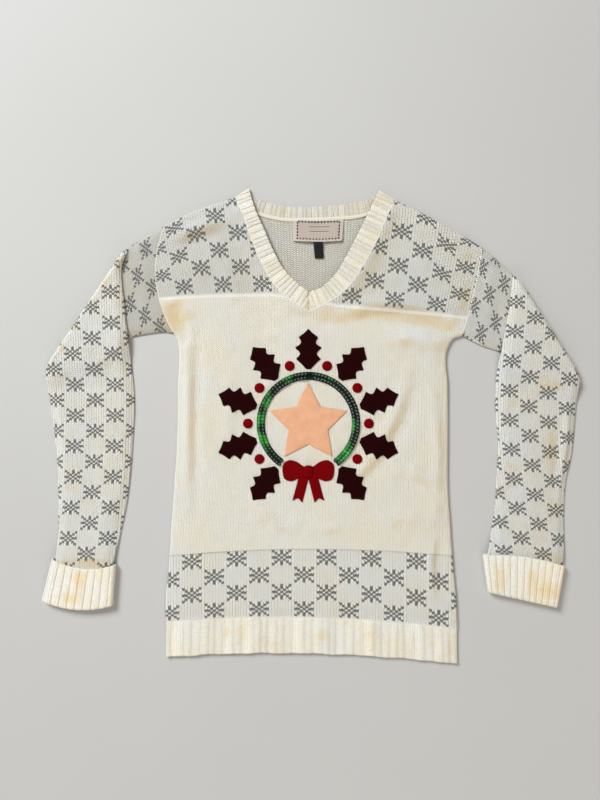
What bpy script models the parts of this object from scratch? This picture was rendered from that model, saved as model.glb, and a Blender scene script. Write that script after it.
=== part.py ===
"""A cream V-neck Christmas sweater, laid flat on its back with both sleeves folded down.

Metres, +Z up. The hem is towards -Y, the neck is towards +Y and the underside lies at Z = 0.
The origin is under the middle of the whole outline.
"""

import math
from collections import namedtuple

import bmesh
import bpy
import numpy as np
from mathutils import Vector
from mathutils.geometry import delaunay_2d_cdt

# Cloth and gaps
WALL = 0.0025
SEAM = 0.0003
FELT = 0.0012
LABEL = 0.0006

# Heights of the two panels' middle surfaces, the front lying on the back
BACK_MID = WALL / 2
FRONT_MID = WALL + SEAM + WALL / 2
FLAT_TUBE = 2 * WALL + SEAM

# How far the front stands off the back
BODY_LOFT = 0.0015
NECK_LIFT = 0.0032
NECK_REACH = 0.026
EDGE_FADE = 0.028

# Sizes of the facets
PANEL_STEP = 0.0205
ACROSS = 6
END_ANGLES = (45, 90, 135)
BEND_STEPS = 7

# Sleeve folds
FOLD_GAP = 0.0006
FOLD_HEIGHT = 0.0060
DROP_START = 0.004
DROP_LENGTH = 0.040

# Turned-back cuffs: half-heights of the faces of the inner and the outer layer, the depth of the cuff, and
# places along it as shares of that depth: where the inner layer starts, where the slit between the layers
# ends, and where the end of the sleeve starts and stops
CUFF_INNER = (SEAM, SEAM + WALL)
CUFF_OUTER = (2 * SEAM + WALL, 2 * SEAM + 2 * WALL)
CUFF_DEPTH = 0.060
CUFF_TUCK = 0.13
CUFF_SLIT = 0.933
SLEEVE_MOUTH = -0.16
SLEEVE_END = 0.12
TURN_SHOULDER = 0.7

# Appliqué
ART_CENTRE = (-0.0040, 0.0040)
ART_RADIUS = 0.150
STAR_POINT = 0.061
STAR_NOTCH = 0.031
RING_INNER = 0.065
RING_OUTER = 0.077
RING_GAP = 35
LEAF_ROOT = 0.081
LEAF_LENGTH = 0.060
LEAF_COUNT = 9
LEAF_TURN = 36
BERRY_RADIUS = 0.0075
BERRY_PLACE = 0.090
KNOT_HALF = (0.0065, 0.0090)
KNOT_CORNER = 0.0030
ROUND_STEP = 30

Edge = namedtuple("Edge", "y left right")
Course = namedtuple("Course", "centre tilt drop")
Point = namedtuple("Point", "x y")
Band = namedtuple("Band", "seam_x seam_y free_x free_y")
Armhole = namedtuple("Armhole", "top_x top_y bottom_x bottom_y bow")
Station = namedtuple("Station", "over_x over_y under_x under_y bow height")
Line = namedtuple("Line", "over_x over_y under_x under_y bow")
Crease = namedtuple("Crease", "x0 y0 x1 y1 x2 y2 width height")
LeafEdge = namedtuple("LeafEdge", "along half")

# Side edges of the torso, from hem to underarm
TORSO = (
    Edge(-0.2520, -0.2172, 0.2168),
    Edge(-0.2280, -0.2140, 0.2145),
    Edge(-0.1920, -0.2115, 0.2115),
    Edge(-0.1440, -0.2085, 0.2080),
    Edge(-0.0960, -0.2050, 0.2048),
    Edge(-0.0240, -0.2003, 0.2046),
    Edge(0.0600, -0.1990, 0.2046),
    Edge(0.1180, -0.1980, 0.2050),
    Edge(0.1300, -0.2000, 0.2120),
)

# Rows of knitting bow down at the sides: height at the middle, tilt and drop at HALF_CHEST
HALF_CHEST = 0.2150
HEM_BOTTOM = Course(-0.3398, -0.0050, -0.0102)
HEM_TOP = Course(-0.2850, -0.0055, -0.0115)
HEM_LEFT = -0.2176
HEM_RIGHT = 0.2194

LEFT_ARMHOLE = Armhole(-0.2185, 0.3005, -0.2050, 0.1380, -0.0205)
RIGHT_ARMHOLE = Armhole(0.2560, 0.2675, 0.2260, 0.1350, 0.0030)

LEFT_SHOULDER = (Point(-0.1365, 0.3345), Point(-0.1725, 0.3220), Point(-0.1965, 0.3110))
RIGHT_SHOULDER = (Point(0.1560, 0.3230), Point(0.1860, 0.3080), Point(0.2205, 0.2880))

# Collar band, from the fold at each shoulder down to the point of the V
COLLAR_LEFT = (
    Band(-0.1140, 0.3420, -0.0930, 0.3559),
    Band(-0.1020, 0.3165, -0.0825, 0.3225),
    Band(-0.0900, 0.2820, -0.0698, 0.2940),
    Band(-0.0765, 0.2490, -0.0555, 0.2610),
    Band(-0.0585, 0.2160, -0.0390, 0.2325),
    Band(-0.0375, 0.1925, -0.0215, 0.2140),
    Band(-0.0030, 0.1703, -0.0030, 0.1995),
)
COLLAR_RIGHT = (
    Band(0.1260, 0.3375, 0.1020, 0.3525),
    Band(0.1140, 0.3150, 0.0870, 0.3210),
    Band(0.0975, 0.2760, 0.0690, 0.2850),
    Band(0.0795, 0.2430, 0.0525, 0.2535),
    Band(0.0585, 0.2115, 0.0360, 0.2265),
    Band(0.0345, 0.1900, 0.0175, 0.2085),
    Band(-0.0030, 0.1703, -0.0030, 0.1995),
)
COLLAR_BACK = (
    Band(-0.1140, 0.3420, -0.0930, 0.3559),
    Band(-0.0980, 0.3290, -0.0865, 0.3430),
    Band(-0.0735, 0.3190, -0.0700, 0.3362),
    Band(-0.0465, 0.3125, -0.0450, 0.3300),
    Band(-0.0030, 0.3115, -0.0030, 0.3285),
    Band(0.0435, 0.3135, 0.0430, 0.3315),
    Band(0.0765, 0.3175, 0.0760, 0.3368),
    Band(0.1050, 0.3265, 0.0945, 0.3430),
    Band(0.1260, 0.3375, 0.1020, 0.3525),
)

# Sleeves: over is the edge that runs on from the shoulder, under the edge that runs on from the underarm
LEFT_UPPER = (
    Station(-0.2290, 0.2950, -0.2200, 0.1400, -0.0150, 0.0055),
    Station(-0.2390, 0.2885, -0.2450, 0.1375, -0.0080, 0.0058),
    Station(-0.2490, 0.2820, -0.2720, 0.1320, -0.0030, 0.0060),
    Station(-0.2580, 0.2765, -0.3080, 0.1180, 0.0000, 0.0060),
    Station(-0.2670, 0.2715, -0.3500, 0.1010, 0.0000, 0.0060),
)
LEFT_CREST = Line(-0.2765, 0.2670, -0.3985, 0.0840, 0.0)
LEFT_LOWER = (
    Station(-0.2810, 0.2400, -0.3965, 0.0760, 0.0, 0.0060),
    Station(-0.2810, 0.2150, -0.3950, 0.0700, 0.0, 0.0060),
    Station(-0.2780, 0.1900, -0.3945, 0.0630, 0.0, 0.0060),
    Station(-0.2750, 0.1600, -0.3935, 0.0550, 0.0, 0.0060),
    Station(-0.2720, 0.1300, -0.3920, 0.0450, 0.0, 0.0060),
    Station(-0.2690, 0.0950, -0.3900, 0.0320, 0.0, 0.0060),
    Station(-0.2655, 0.0630, -0.3880, 0.0160, 0.0, 0.0060),
    Station(-0.2640, 0.0300, -0.3855, 0.0000, 0.0, 0.0060),
    Station(-0.2665, -0.0150, -0.3825, -0.0280, 0.0, 0.0060),
    Station(-0.2690, -0.0560, -0.3798, -0.0620, 0.0, 0.0060),
    Station(-0.2760, -0.1155, -0.3785, -0.1200, 0.0, 0.0058),
    Station(-0.2850, -0.1600, -0.3790, -0.1600, 0.0, 0.0056),
)
LEFT_FREE = Line(-0.2900, -0.2075, -0.3865, -0.1985, -0.0085)
LEFT_TURN = Line(-0.2945, -0.2690, -0.4020, -0.2620, -0.0080)

RIGHT_UPPER = (
    Station(0.2650, 0.2600, 0.2365, 0.1290, 0.0020, 0.0055),
    Station(0.2740, 0.2525, 0.2550, 0.1200, 0.0010, 0.0058),
    Station(0.2830, 0.2450, 0.2800, 0.1120, 0.0000, 0.0060),
    Station(0.2900, 0.2390, 0.3150, 0.1010, 0.0000, 0.0060),
    Station(0.2965, 0.2335, 0.3560, 0.0880, 0.0000, 0.0060),
)
RIGHT_CREST = Line(0.3060, 0.2260, 0.4024, 0.0750, 0.0)
RIGHT_LOWER = (
    Station(0.2975, 0.2050, 0.4005, 0.0680, 0.0, 0.0060),
    Station(0.2955, 0.1850, 0.4000, 0.0620, 0.0, 0.0060),
    Station(0.2925, 0.1650, 0.3995, 0.0550, 0.0, 0.0060),
    Station(0.2880, 0.1400, 0.3985, 0.0470, 0.0, 0.0060),
    Station(0.2835, 0.1150, 0.3975, 0.0370, 0.0, 0.0060),
    Station(0.2785, 0.0870, 0.3965, 0.0240, 0.0, 0.0060),
    Station(0.2755, 0.0580, 0.3950, 0.0080, 0.0, 0.0060),
    Station(0.2755, 0.0250, 0.3935, -0.0120, 0.0, 0.0060),
    Station(0.2800, -0.0210, 0.3895, -0.0460, 0.0, 0.0060),
    Station(0.2780, -0.0650, 0.3820, -0.0790, 0.0, 0.0060),
    Station(0.2745, -0.1245, 0.3785, -0.1330, 0.0, 0.0058),
    Station(0.2690, -0.1600, 0.3790, -0.1640, 0.0, 0.0056),
)
RIGHT_FREE = Line(0.2555, -0.1900, 0.3785, -0.2070, 0.0050)
RIGHT_TURN = Line(0.2630, -0.2475, 0.3670, -0.2705, 0.0)

# Creases of the front: start, bend and end of each ridge, its half-width and its height
CREASES = (
    Crease(0.2250, 0.1620, 0.1300, 0.2050, 0.0500, 0.1650, 0.0150, 0.0028),
    Crease(0.2150, 0.1250, 0.1500, 0.1500, 0.1200, 0.1300, 0.0160, 0.0024),
    Crease(0.1720, 0.1050, 0.1900, -0.0200, 0.1150, -0.1300, 0.0170, 0.0022),
    Crease(-0.1350, -0.0900, -0.0800, -0.1500, -0.0200, -0.1620, 0.0160, 0.0020),
    Crease(-0.1870, 0.1500, -0.1750, 0.0300, -0.1860, -0.1300, 0.0140, 0.0022),
    Crease(0.0900, -0.1500, 0.1500, -0.1350, 0.2000, -0.1500, 0.0170, 0.0016),
    Crease(-0.1500, 0.2700, -0.1250, 0.2250, -0.1000, 0.1900, 0.0160, 0.0016),
    Crease(0.1350, 0.2700, 0.1600, 0.2350, 0.2100, 0.2200, 0.0160, 0.0018),
)

# Half outline of a holly leaf: spikes at even rows, hollows between them
LEAF_EDGE = (
    LeafEdge(0.00, 0.0035),
    LeafEdge(0.12, 0.0100),
    LeafEdge(0.25, 0.0185),
    LeafEdge(0.38, 0.0125),
    LeafEdge(0.53, 0.0200),
    LeafEdge(0.66, 0.0110),
    LeafEdge(0.79, 0.0145),
    LeafEdge(0.90, 0.0060),
)

# Right half of the felt bow, from the middle of its top edge to the middle of its bottom edge
BOW_EDGE = (
    Point(0.0000, 0.0060),
    Point(0.0060, 0.0070),
    Point(0.0170, 0.0140),
    Point(0.0290, 0.0165),
    Point(0.0370, 0.0110),
    Point(0.0385, -0.0010),
    Point(0.0350, -0.0120),
    Point(0.0260, -0.0150),
    Point(0.0150, -0.0110),
    Point(0.0240, -0.0440),
    Point(0.0155, -0.0400),
    Point(0.0090, -0.0470),
    Point(0.0000, -0.0120),
)

# Label and size tab inside the back neck
LABEL_BOX = (-0.0270, 0.2765, 0.0490, 0.3095)
TAB_BOX = (0.0035, 0.2505, 0.0170, 0.2762)

# Colours as linear base colour, then roughness
CREAM = ((0.730, 0.690, 0.600), 0.90)
RIB_CREAM = ((0.790, 0.730, 0.610), 0.90)
BROWN_FELT = ((0.018, 0.007, 0.005), 0.95)
PEACH_FELT = ((0.820, 0.420, 0.250), 0.95)
RED_FELT = ((0.200, 0.004, 0.006), 0.95)
SEQUIN_GREEN = ((0.004, 0.020, 0.008), 0.25)
LABEL_WHITE = ((0.760, 0.620, 0.580), 0.80)
TAB_BLACK = ((0.010, 0.010, 0.011), 0.85)


def clear_scene():
    """Empty the scene before the sweater is built."""
    for obj in list(bpy.data.objects):
        bpy.data.objects.remove(obj, do_unlink=True)


def material(name, finish):
    """A Principled BSDF material of one colour and roughness."""
    colour, roughness = finish
    made = bpy.data.materials.new(name)
    made.use_nodes = True
    shader = made.node_tree.nodes["Principled BSDF"]
    shader.inputs["Base Color"].default_value = (*colour, 1.0)
    shader.inputs["Roughness"].default_value = roughness
    shader.inputs["Metallic"].default_value = 0.0
    return made


def finish_object(name, data, finish):
    """Put mesh or curve data in the sweater's collection under its piece's name."""
    obj = bpy.data.objects.new(name, data)
    bpy.data.collections["christmas_sweater"].objects.link(obj)
    data.materials.append(material(name, finish))
    return obj


def ease(value):
    """A soft step from 0 to 1."""
    clipped = np.clip(value, 0.0, 1.0)
    return clipped * clipped * (3.0 - 2.0 * clipped)


def curve_through(points, between):
    """Points on a Catmull-Rom curve, with a number of new points after each given one."""
    known = np.array(points, dtype=float)
    padded = np.vstack([2 * known[0] - known[1], known, 2 * known[-1] - known[-2]])
    found = []
    for k in range(len(known) - 1):
        p0, p1, p2, p3 = padded[k : k + 4]
        for t in np.arange(between + 1) / (between + 1):
            bend = 2 * p0 - 5 * p1 + 4 * p2 - p3
            twist = -p0 + 3 * p1 - 3 * p2 + p3
            found.append(0.5 * (2 * p1 + (p2 - p0) * t + bend * t**2 + twist * t**3))
    found.append(known[-1])
    return np.array(found)


def distance_to(line, x, y):
    """Distance from each place to a chain of points, and how far along the chain it is, 0 to 1."""
    nearest = np.full(np.shape(x), np.inf)
    along = np.zeros(np.shape(x))
    last = len(line) - 1
    for k in range(last):
        start, run = line[k], line[k + 1] - line[k]
        t = ((x - start[0]) * run[0] + (y - start[1]) * run[1]) / max(run @ run, 1e-12)
        t = np.clip(t, 0.0, 1.0)
        gap = np.hypot(x - start[0] - t * run[0], y - start[1] - t * run[1])
        closer = gap < nearest
        nearest = np.where(closer, gap, nearest)
        along = np.where(closer, (k + t) / last, along)
    return nearest, along


def course_y(course, x):
    """Height of a bowed row of knitting at x."""
    side = x / HALF_CHEST
    return course.centre + course.tilt * side + course.drop * side**2


def course_line(course, count):
    """A row of knitting from the left side edge to the right one."""
    xs = np.linspace(HEM_LEFT, HEM_RIGHT, count + 1)
    return np.column_stack([xs, course_y(course, xs)])


def armhole_line(armhole, outward=0.0):
    """The armhole seam from shoulder to underarm, bowed sideways, and moved sideways by outward."""
    s = np.linspace(0.0, 1.0, ACROSS + 1)
    x = armhole.top_x + (armhole.bottom_x - armhole.top_x) * s
    x = x + armhole.bow * 4 * s * (1 - s) + outward
    y = armhole.top_y + (armhole.bottom_y - armhole.top_y) * s
    return np.column_stack([x, y])


def side_line(side, armhole):
    """A side edge of the torso, from the top of the hem up to the underarm."""
    column = [[getattr(row, side), row.y] for row in TORSO]
    corner_x = HEM_LEFT if side == "left" else HEM_RIGHT
    corner = [[corner_x, course_y(HEM_TOP, corner_x)]]
    underarm = [[armhole.bottom_x, armhole.bottom_y]]
    return curve_through(corner + column + underarm, 1)


def shoulder_line(neck, shoulder, armhole):
    """A shoulder edge, from the neck to the top of the armhole."""
    inner = [[neck.seam_x, neck.seam_y]]
    outer = [[armhole.top_x, armhole.top_y]]
    return curve_through(inner + [list(p) for p in shoulder] + outer, 1)


def fold_inset(row):
    """How far, and which way, the fold's hinge lies from the edge that shows at a shoulder."""
    run = np.array([row[2] - row[0], row[3] - row[1]])
    run = run / np.linalg.norm(run)
    out = np.array([-run[1], run[0]])
    return out * (1 if out[1] > 0 else -1), FLAT_TUBE / 2


def band_rows(rows, folded):
    """Rows of the collar band with one more between each two; those at folded places start at the hinge."""
    found = curve_through(rows, 1)
    for end in folded:
        out, depth = fold_inset(found[end])
        found[end] -= np.tile(out * depth, 2)
    return found


def torso_outline(neck):
    """The outline of a panel, anticlockwise from the left end of its hem, round the given neck line."""
    left_side = side_line("left", LEFT_ARMHOLE)
    right_side = side_line("right", RIGHT_ARMHOLE)
    left_shoulder = shoulder_line(COLLAR_LEFT[0], LEFT_SHOULDER, LEFT_ARMHOLE)
    right_shoulder = shoulder_line(COLLAR_RIGHT[0], RIGHT_SHOULDER, RIGHT_ARMHOLE)
    return np.vstack(
        [
            course_line(HEM_TOP, 4 * ACROSS)[:-1],
            right_side[:-1],
            armhole_line(RIGHT_ARMHOLE)[:0:-1],
            right_shoulder[::-1],
            neck,
            left_shoulder[:-1],
            armhole_line(LEFT_ARMHOLE)[:-1],
            left_side[:0:-1],
        ]
    )


def front_neck():
    """The front neck line, from the right shoulder down to the V and up to the left shoulder."""
    right = band_rows(COLLAR_RIGHT, (0,))[:, :2]
    left = band_rows(COLLAR_LEFT, (0,))[:, :2]
    return np.vstack([right[:-1], left[::-1]])


def back_neck():
    """The back neck line, from the right shoulder to the left one."""
    return band_rows(COLLAR_BACK, (0, -1))[::-1, :2]


def joined_edges():
    """The edges along which front and back meet, where the front comes down on the back."""
    return [
        side_line("left", LEFT_ARMHOLE),
        side_line("right", RIGHT_ARMHOLE),
        armhole_line(LEFT_ARMHOLE),
        armhole_line(RIGHT_ARMHOLE),
        shoulder_line(COLLAR_LEFT[0], LEFT_SHOULDER, LEFT_ARMHOLE),
        shoulder_line(COLLAR_RIGHT[0], RIGHT_SHOULDER, RIGHT_ARMHOLE),
        course_line(HEM_TOP, 2 * ACROSS),
    ]


def crease_height(crease, x, y):
    """Height of one soft ridge, fading out towards both of its ends."""
    t = np.linspace(0.0, 1.0, 9)[:, None]
    start, bend, end = np.array(crease[:6]).reshape(3, 2)
    line = start * (1 - t) ** 2 + bend * 2 * t * (1 - t) + end * t**2
    gap, along = distance_to(line, x, y)
    return crease.height * np.sin(np.pi * along) * np.exp(-((gap / crease.width) ** 2))


def front_mid(x, y):
    """Height of the front's middle surface: flat under the appliqué, lifted at the neck, creased elsewhere."""
    x, y = np.asarray(x, dtype=float), np.asarray(y, dtype=float)
    gaps = [distance_to(line, x, y)[0] for line in joined_edges()]
    inside = ease(np.min(gaps, axis=0) / EDGE_FADE)
    from_art = np.hypot(x - ART_CENTRE[0], y - ART_CENTRE[1]) - ART_RADIUS
    off_art = ease(from_art / EDGE_FADE)
    neck_gap = distance_to(front_neck(), x, y)[0]
    lift = NECK_LIFT * ease(1.0 - neck_gap / NECK_REACH)
    ridges = sum(crease_height(crease, x, y) for crease in CREASES)
    return FRONT_MID + inside * (BODY_LOFT + off_art * (ridges + lift))


def inside_outline(outline, x, y):
    """Whether each place lies inside a closed outline."""
    result = np.zeros(np.shape(x), dtype=bool)
    for (x0, y0), (x1, y1) in zip(outline, np.roll(outline, -1, axis=0)):
        crosses = (y0 > y) != (y1 > y)
        reach = x0 + (x1 - x0) * (y - y0) / (y1 - y0 if y1 != y0 else 1.0)
        result ^= crosses & (x < reach)
    return result


def cloth_sheet(outline, step):
    """A triangulated sheet inside an outline, with places about a step apart, as points and faces."""
    low, high = outline.min(axis=0), outline.max(axis=0)
    rows = np.arange(low[1], high[1], step * math.sqrt(0.75))
    grid = []
    for number, y in enumerate(rows):
        shift = step / 2 if number % 2 else 0.0
        grid += [(x, y) for x in np.arange(low[0] + shift, high[0], step)]
    grid = np.array(grid)
    ring = np.vstack([outline, outline[:1]])
    clear = distance_to(ring, grid[:, 0], grid[:, 1])[0] > 0.55 * step
    grid = grid[clear & inside_outline(outline, grid[:, 0], grid[:, 1])]
    points = [Vector(p) for p in np.vstack([outline, grid])]
    count = len(outline)
    border = [(k, (k + 1) % count) for k in range(count)]
    flat, _, faces, _, _, _ = delaunay_2d_cdt(points, border, [list(range(count))], 1, 1e-6)
    return np.array([tuple(p) for p in flat]), faces


def build_front_panel():
    """The front: a sheet that follows its heights, with the cloth's wall under and over it."""
    flat, faces = cloth_sheet(torso_outline(front_neck()), PANEL_STEP)
    low = front_mid(flat[:, 0], flat[:, 1]) - WALL / 2
    shape = bmesh.new()
    corners = [shape.verts.new((x, y, z)) for (x, y), z in zip(flat, low)]
    sheet = [shape.faces.new([corners[k] for k in face]) for face in faces]
    grown = bmesh.ops.extrude_face_region(shape, geom=sheet, use_keep_orig=True)
    upper = [item for item in grown["geom"] if isinstance(item, bmesh.types.BMVert)]
    bmesh.ops.translate(shape, verts=upper, vec=(0.0, 0.0, WALL))
    bmesh.ops.recalc_face_normals(shape, faces=shape.faces)
    mesh = bpy.data.meshes.new("front_panel")
    shape.to_mesh(mesh)
    shape.free()
    finish_object("front_panel", mesh, CREAM)


def flat_piece(name, outline, low_z, thickness, finish):
    """A flat cut piece: a filled outline with a thickness, its underside at low_z."""
    curve = bpy.data.curves.new(name, "CURVE")
    curve.dimensions = "2D"
    curve.fill_mode = "BOTH"
    curve.extrude = thickness / 2
    spline = curve.splines.new("POLY")
    spline.points.add(len(outline) - 1)
    for place, (x, y) in zip(spline.points, outline):
        place.co = (x, y, 0.0, 1.0)
    spline.use_cyclic_u = True
    obj = finish_object(name, curve, finish)
    obj.location.z = low_z + thickness / 2


def build_back_panel():
    """The back: flat on the surface that the sweater lies on."""
    flat_piece("back_panel", torso_outline(back_neck()), 0.0, WALL, CREAM)


def loft(name, rings, closed, finish):
    """A skin over rings of equally many points, capped at both ends, or closed on itself."""
    shape = bmesh.new()
    skin = [[shape.verts.new(p) for p in ring] for ring in rings]
    pairs = list(zip(skin, skin[1:] + (skin[:1] if closed else [])))
    if not closed:
        pairs = pairs[: len(skin) - 1]
    for ring, after in pairs:
        for k in range(len(ring)):
            j = (k + 1) % len(ring)
            shape.faces.new([ring[k], ring[j], after[j], after[k]])
    if not closed:
        shape.faces.new(skin[0])
        shape.faces.new(skin[-1])
    bmesh.ops.recalc_face_normals(shape, faces=shape.faces)
    mesh = bpy.data.meshes.new(name)
    shape.to_mesh(mesh)
    shape.free()
    finish_object(name, mesh, finish)


def around(middle, up, half):
    """Points round a flattened tube: its lower face, one rounded edge, its upper face, the other edge."""
    up = np.array(up, dtype=float)
    out = middle[-1] - middle[-2]
    out = out / np.linalg.norm(out)
    back = middle[0] - middle[1]
    back = back / np.linalg.norm(back)
    angles = [math.radians(a) for a in END_ANGLES]
    lower = [p - up * half for p in middle]
    far = [middle[-1] + half * (out * math.sin(a) - up * math.cos(a)) for a in angles]
    upper = [p + up * half for p in middle[::-1]]
    near = [middle[0] + half * (back * math.sin(a) + up * math.cos(a)) for a in angles]
    return np.array(lower + far + upper + near)


def tube(name, stations, finish):
    """A flattened tube of cloth with a wall, through stations of middle line, up direction and height."""
    shape = bmesh.new()
    outer = []
    inner = []
    for middle, up, height in stations:
        outer.append([shape.verts.new(p) for p in around(middle, up, height / 2)])
        inner.append([shape.verts.new(p) for p in around(middle, up, height / 2 - WALL)])
    count = len(outer[0])
    for skin in (outer, inner):
        for ring, after in zip(skin, skin[1:]):
            for k in range(count):
                j = (k + 1) % count
                shape.faces.new([ring[k], ring[j], after[j], after[k]])
    for end in (0, -1):
        for k in range(count):
            j = (k + 1) % count
            shape.faces.new([outer[end][k], outer[end][j], inner[end][j], inner[end][k]])
    bmesh.ops.recalc_face_normals(shape, faces=shape.faces)
    mesh = bpy.data.meshes.new(name)
    shape.to_mesh(mesh)
    shape.free()
    finish_object(name, mesh, finish)


def line_points(line, inset):
    """Points across a sleeve or cuff between its two edges, drawn in from each by inset and bowed along Y."""
    over = np.array([line.over_x, line.over_y])
    under = np.array([line.under_x, line.under_y])
    run = (under - over) / np.linalg.norm(under - over)
    s = np.linspace(0.0, 1.0, ACROSS + 1)[:, None]
    straight = (over + run * inset) * (1 - s) + (under - run * inset) * s
    return straight + np.array([0.0, line.bow]) * 4 * s * (1 - s)


def with_z(flat, z):
    """Flat points given heights."""
    return np.column_stack([flat, np.broadcast_to(z, len(flat))])


def cuff_line(free, turn, along):
    """The line across a cuff, from its free edge at 0 to its turned edge at 1."""
    mixed = [a + (b - a) * along for a, b in zip(free, turn)]
    return Line(*mixed)


def sleeve_stations(armhole, outward, upper, crest, lower, free, turn):
    """Every station of a sleeve: armhole, upper part, fold, lower part, and the end inside the cuff."""
    stations = []
    seam = armhole_line(armhole, outward * SEAM)
    for end, after in ((0, 1), (-1, -2)):
        run = seam[after] - seam[end]
        seam[end] += run / np.linalg.norm(run) * FLAT_TUBE / 2
    stations.append((with_z(seam, FLAT_TUBE / 2), (0, 0, 1), FLAT_TUBE))
    for row in upper:
        flat = line_points(row._replace(bow=0.0), row.height / 2)
        s = np.linspace(0.0, 1.0, ACROSS + 1)
        flat[:, 0] += row.bow * 4 * s * (1 - s)
        stations.append((with_z(flat, row.height / 2), (0, 0, 1), row.height))

    # The fold: round a line set in from the crest, so that the crest is the edge that shows
    radius = (FOLD_HEIGHT + FOLD_GAP) / 2
    crest_flat = line_points(crest, FOLD_HEIGHT / 2)
    along = crest_flat[-1] - crest_flat[0]
    along = along / np.linalg.norm(along)
    out = np.array([along[1], -along[0]])
    out = out * (1 if out[0] * outward > 0 else -1)
    hinge = crest_flat - out * (radius + FOLD_HEIGHT / 2)
    for step in range(BEND_STEPS + 1):
        turn_angle = math.pi * step / BEND_STEPS
        flat = hinge + out * radius * math.sin(turn_angle)
        z = FOLD_HEIGHT / 2 + radius * (1 - math.cos(turn_angle))
        up = np.array([*(-out * math.sin(turn_angle)), math.cos(turn_angle)])
        stations.append((with_z(flat, z), up, FOLD_HEIGHT))

    # The lower part lies on the upper part, then comes down to the surface below its underarm edge
    edge_start = np.array([upper[2].under_x, upper[2].under_y])
    edge_end = np.array([crest.under_x, crest.under_y])
    edge_run = (edge_end - edge_start) / np.linalg.norm(edge_end - edge_start)
    down = np.array([edge_run[1], -edge_run[0]])
    down = down * (1 if down[1] < 0 else -1)
    cuff_mid = CUFF_OUTER[1]
    for row in lower:
        flat = line_points(row, row.height / 2)
        below = (flat - edge_start) @ down
        lift = (FOLD_HEIGHT + FOLD_GAP) * (1 - ease((below - DROP_START) / DROP_LENGTH))
        stations.append((with_z(flat, row.height / 2 + lift), (0, 0, -1), row.height))
    end_height = 2 * (CUFF_OUTER[0] - SEAM)
    inset = CUFF_OUTER[1] - CUFF_OUTER[0] + 2 * SEAM + end_height / 2
    for place in (SLEEVE_MOUTH, SLEEVE_END):
        flat = line_points(cuff_line(free, turn, place), inset)
        stations.append((with_z(flat, cuff_mid), (0, 0, -1), end_height))
    return stations


def build_cuff(name, free, turn):
    """A turned-back cuff: an inner layer from the sleeve's end down to the turn, and an outer layer back up."""
    middle = (CUFF_OUTER[1] + CUFF_INNER[0]) / 2
    bulge = CUFF_OUTER[1] - middle
    rim = 1.0 - bulge / CUFF_DEPTH
    shoulder = rim + TURN_SHOULDER * (1 - rim)
    profile = [
        (0.0, CUFF_OUTER[0]),
        (0.0, CUFF_OUTER[1]),
        (rim, CUFF_OUTER[1]),
        (shoulder, middle + TURN_SHOULDER * bulge),
        (1.0, middle),
        (shoulder, middle - TURN_SHOULDER * bulge),
        (rim, CUFF_INNER[0]),
        (CUFF_TUCK, CUFF_INNER[0]),
        (CUFF_TUCK, CUFF_INNER[1]),
        (CUFF_SLIT, CUFF_INNER[1]),
        (CUFF_SLIT, CUFF_OUTER[0]),
    ]
    loops = []
    for along, half in profile:
        flat = line_points(cuff_line(free, turn, along), CUFF_OUTER[1])
        loops.append(around(with_z(flat, CUFF_OUTER[1]), (0, 0, 1), half))
    rings = [[loop[k] for loop in loops] for k in range(len(loops[0]))]
    loft(name, rings, True, RIB_CREAM)


def build_hem_rib():
    """The hem rib: a flattened tube along the bottom of the torso."""
    stations = []
    for course, shift in ((HEM_BOTTOM, 0.0), (HEM_TOP, -SEAM)):
        flat = course_line(course, 4 * ACROSS)
        flat[:, 1] += shift
        flat[0, 0] += FLAT_TUBE / 2
        flat[-1, 0] -= FLAT_TUBE / 2
        stations.append((with_z(flat, FLAT_TUBE / 2), (0, 0, 1), FLAT_TUBE))
    tube("hem_rib", stations, RIB_CREAM)


def band_section(seam, free, radial):
    """The four corners of the collar band's section, its seam edge drawn in by the seam's gap."""
    run = (free - seam) / np.linalg.norm(free - seam)
    seam = seam + run * SEAM
    radial = np.array(radial) * WALL / 2
    return [seam - radial, free - radial, free + radial, seam + radial]


def fold_sections(row, order):
    """The collar band's sections round the fold at a shoulder, in the order front to back or the reverse."""
    seam, free = np.array(row[:2]), np.array(row[2:])
    out, depth = fold_inset(row)
    radius = (FRONT_MID - BACK_MID) / 2
    inset = out * depth
    found = []
    for angle in order:
        turn = math.radians(angle)
        flat_shift = out * radius * math.cos(turn) - inset
        z = (FRONT_MID + BACK_MID) / 2 + radius * math.sin(turn)
        radial = [*(out * math.cos(turn)), math.sin(turn)]
        found.append(
            band_section(np.array([*(seam + flat_shift), z]), np.array([*(free + flat_shift), z]), radial)
        )
    return found


def flat_sections(rows, heights, up):
    """The collar band's sections where it lies flat, one at each row and height."""
    found = []
    for (seam_x, seam_y, free_x, free_y), z in zip(rows, heights):
        seam = np.array([seam_x, seam_y, z])
        found.append(band_section(seam, np.array([free_x, free_y, z]), (0, 0, up)))
    return found


def build_collar():
    """The collar: one band up the left of the V, round the back neck and down to the V again."""
    left = band_rows(COLLAR_LEFT, (0,))[:0:-1]
    right = band_rows(COLLAR_RIGHT, (0,))[1:-1]
    back = band_rows(COLLAR_BACK, (0, -1))[1:-1]
    down = (90, 45, 0, -45, -90)
    sections = flat_sections(left, front_mid(left[:, 0], left[:, 1]), 1)
    sections += fold_sections(COLLAR_LEFT[0], down)
    sections += flat_sections(back, [BACK_MID] * len(back), -1)
    sections += fold_sections(COLLAR_RIGHT[0], down[::-1])
    sections += flat_sections(right, front_mid(right[:, 0], right[:, 1]), 1)
    loft("collar", sections, True, RIB_CREAM)


def arc(radius, start, end, count):
    """Points on an arc about the middle of the appliqué, angles in degrees from +X."""
    angles = np.radians(np.linspace(start, end, count))
    return np.column_stack([np.cos(angles), np.sin(angles)]) * radius + ART_CENTRE


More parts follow.
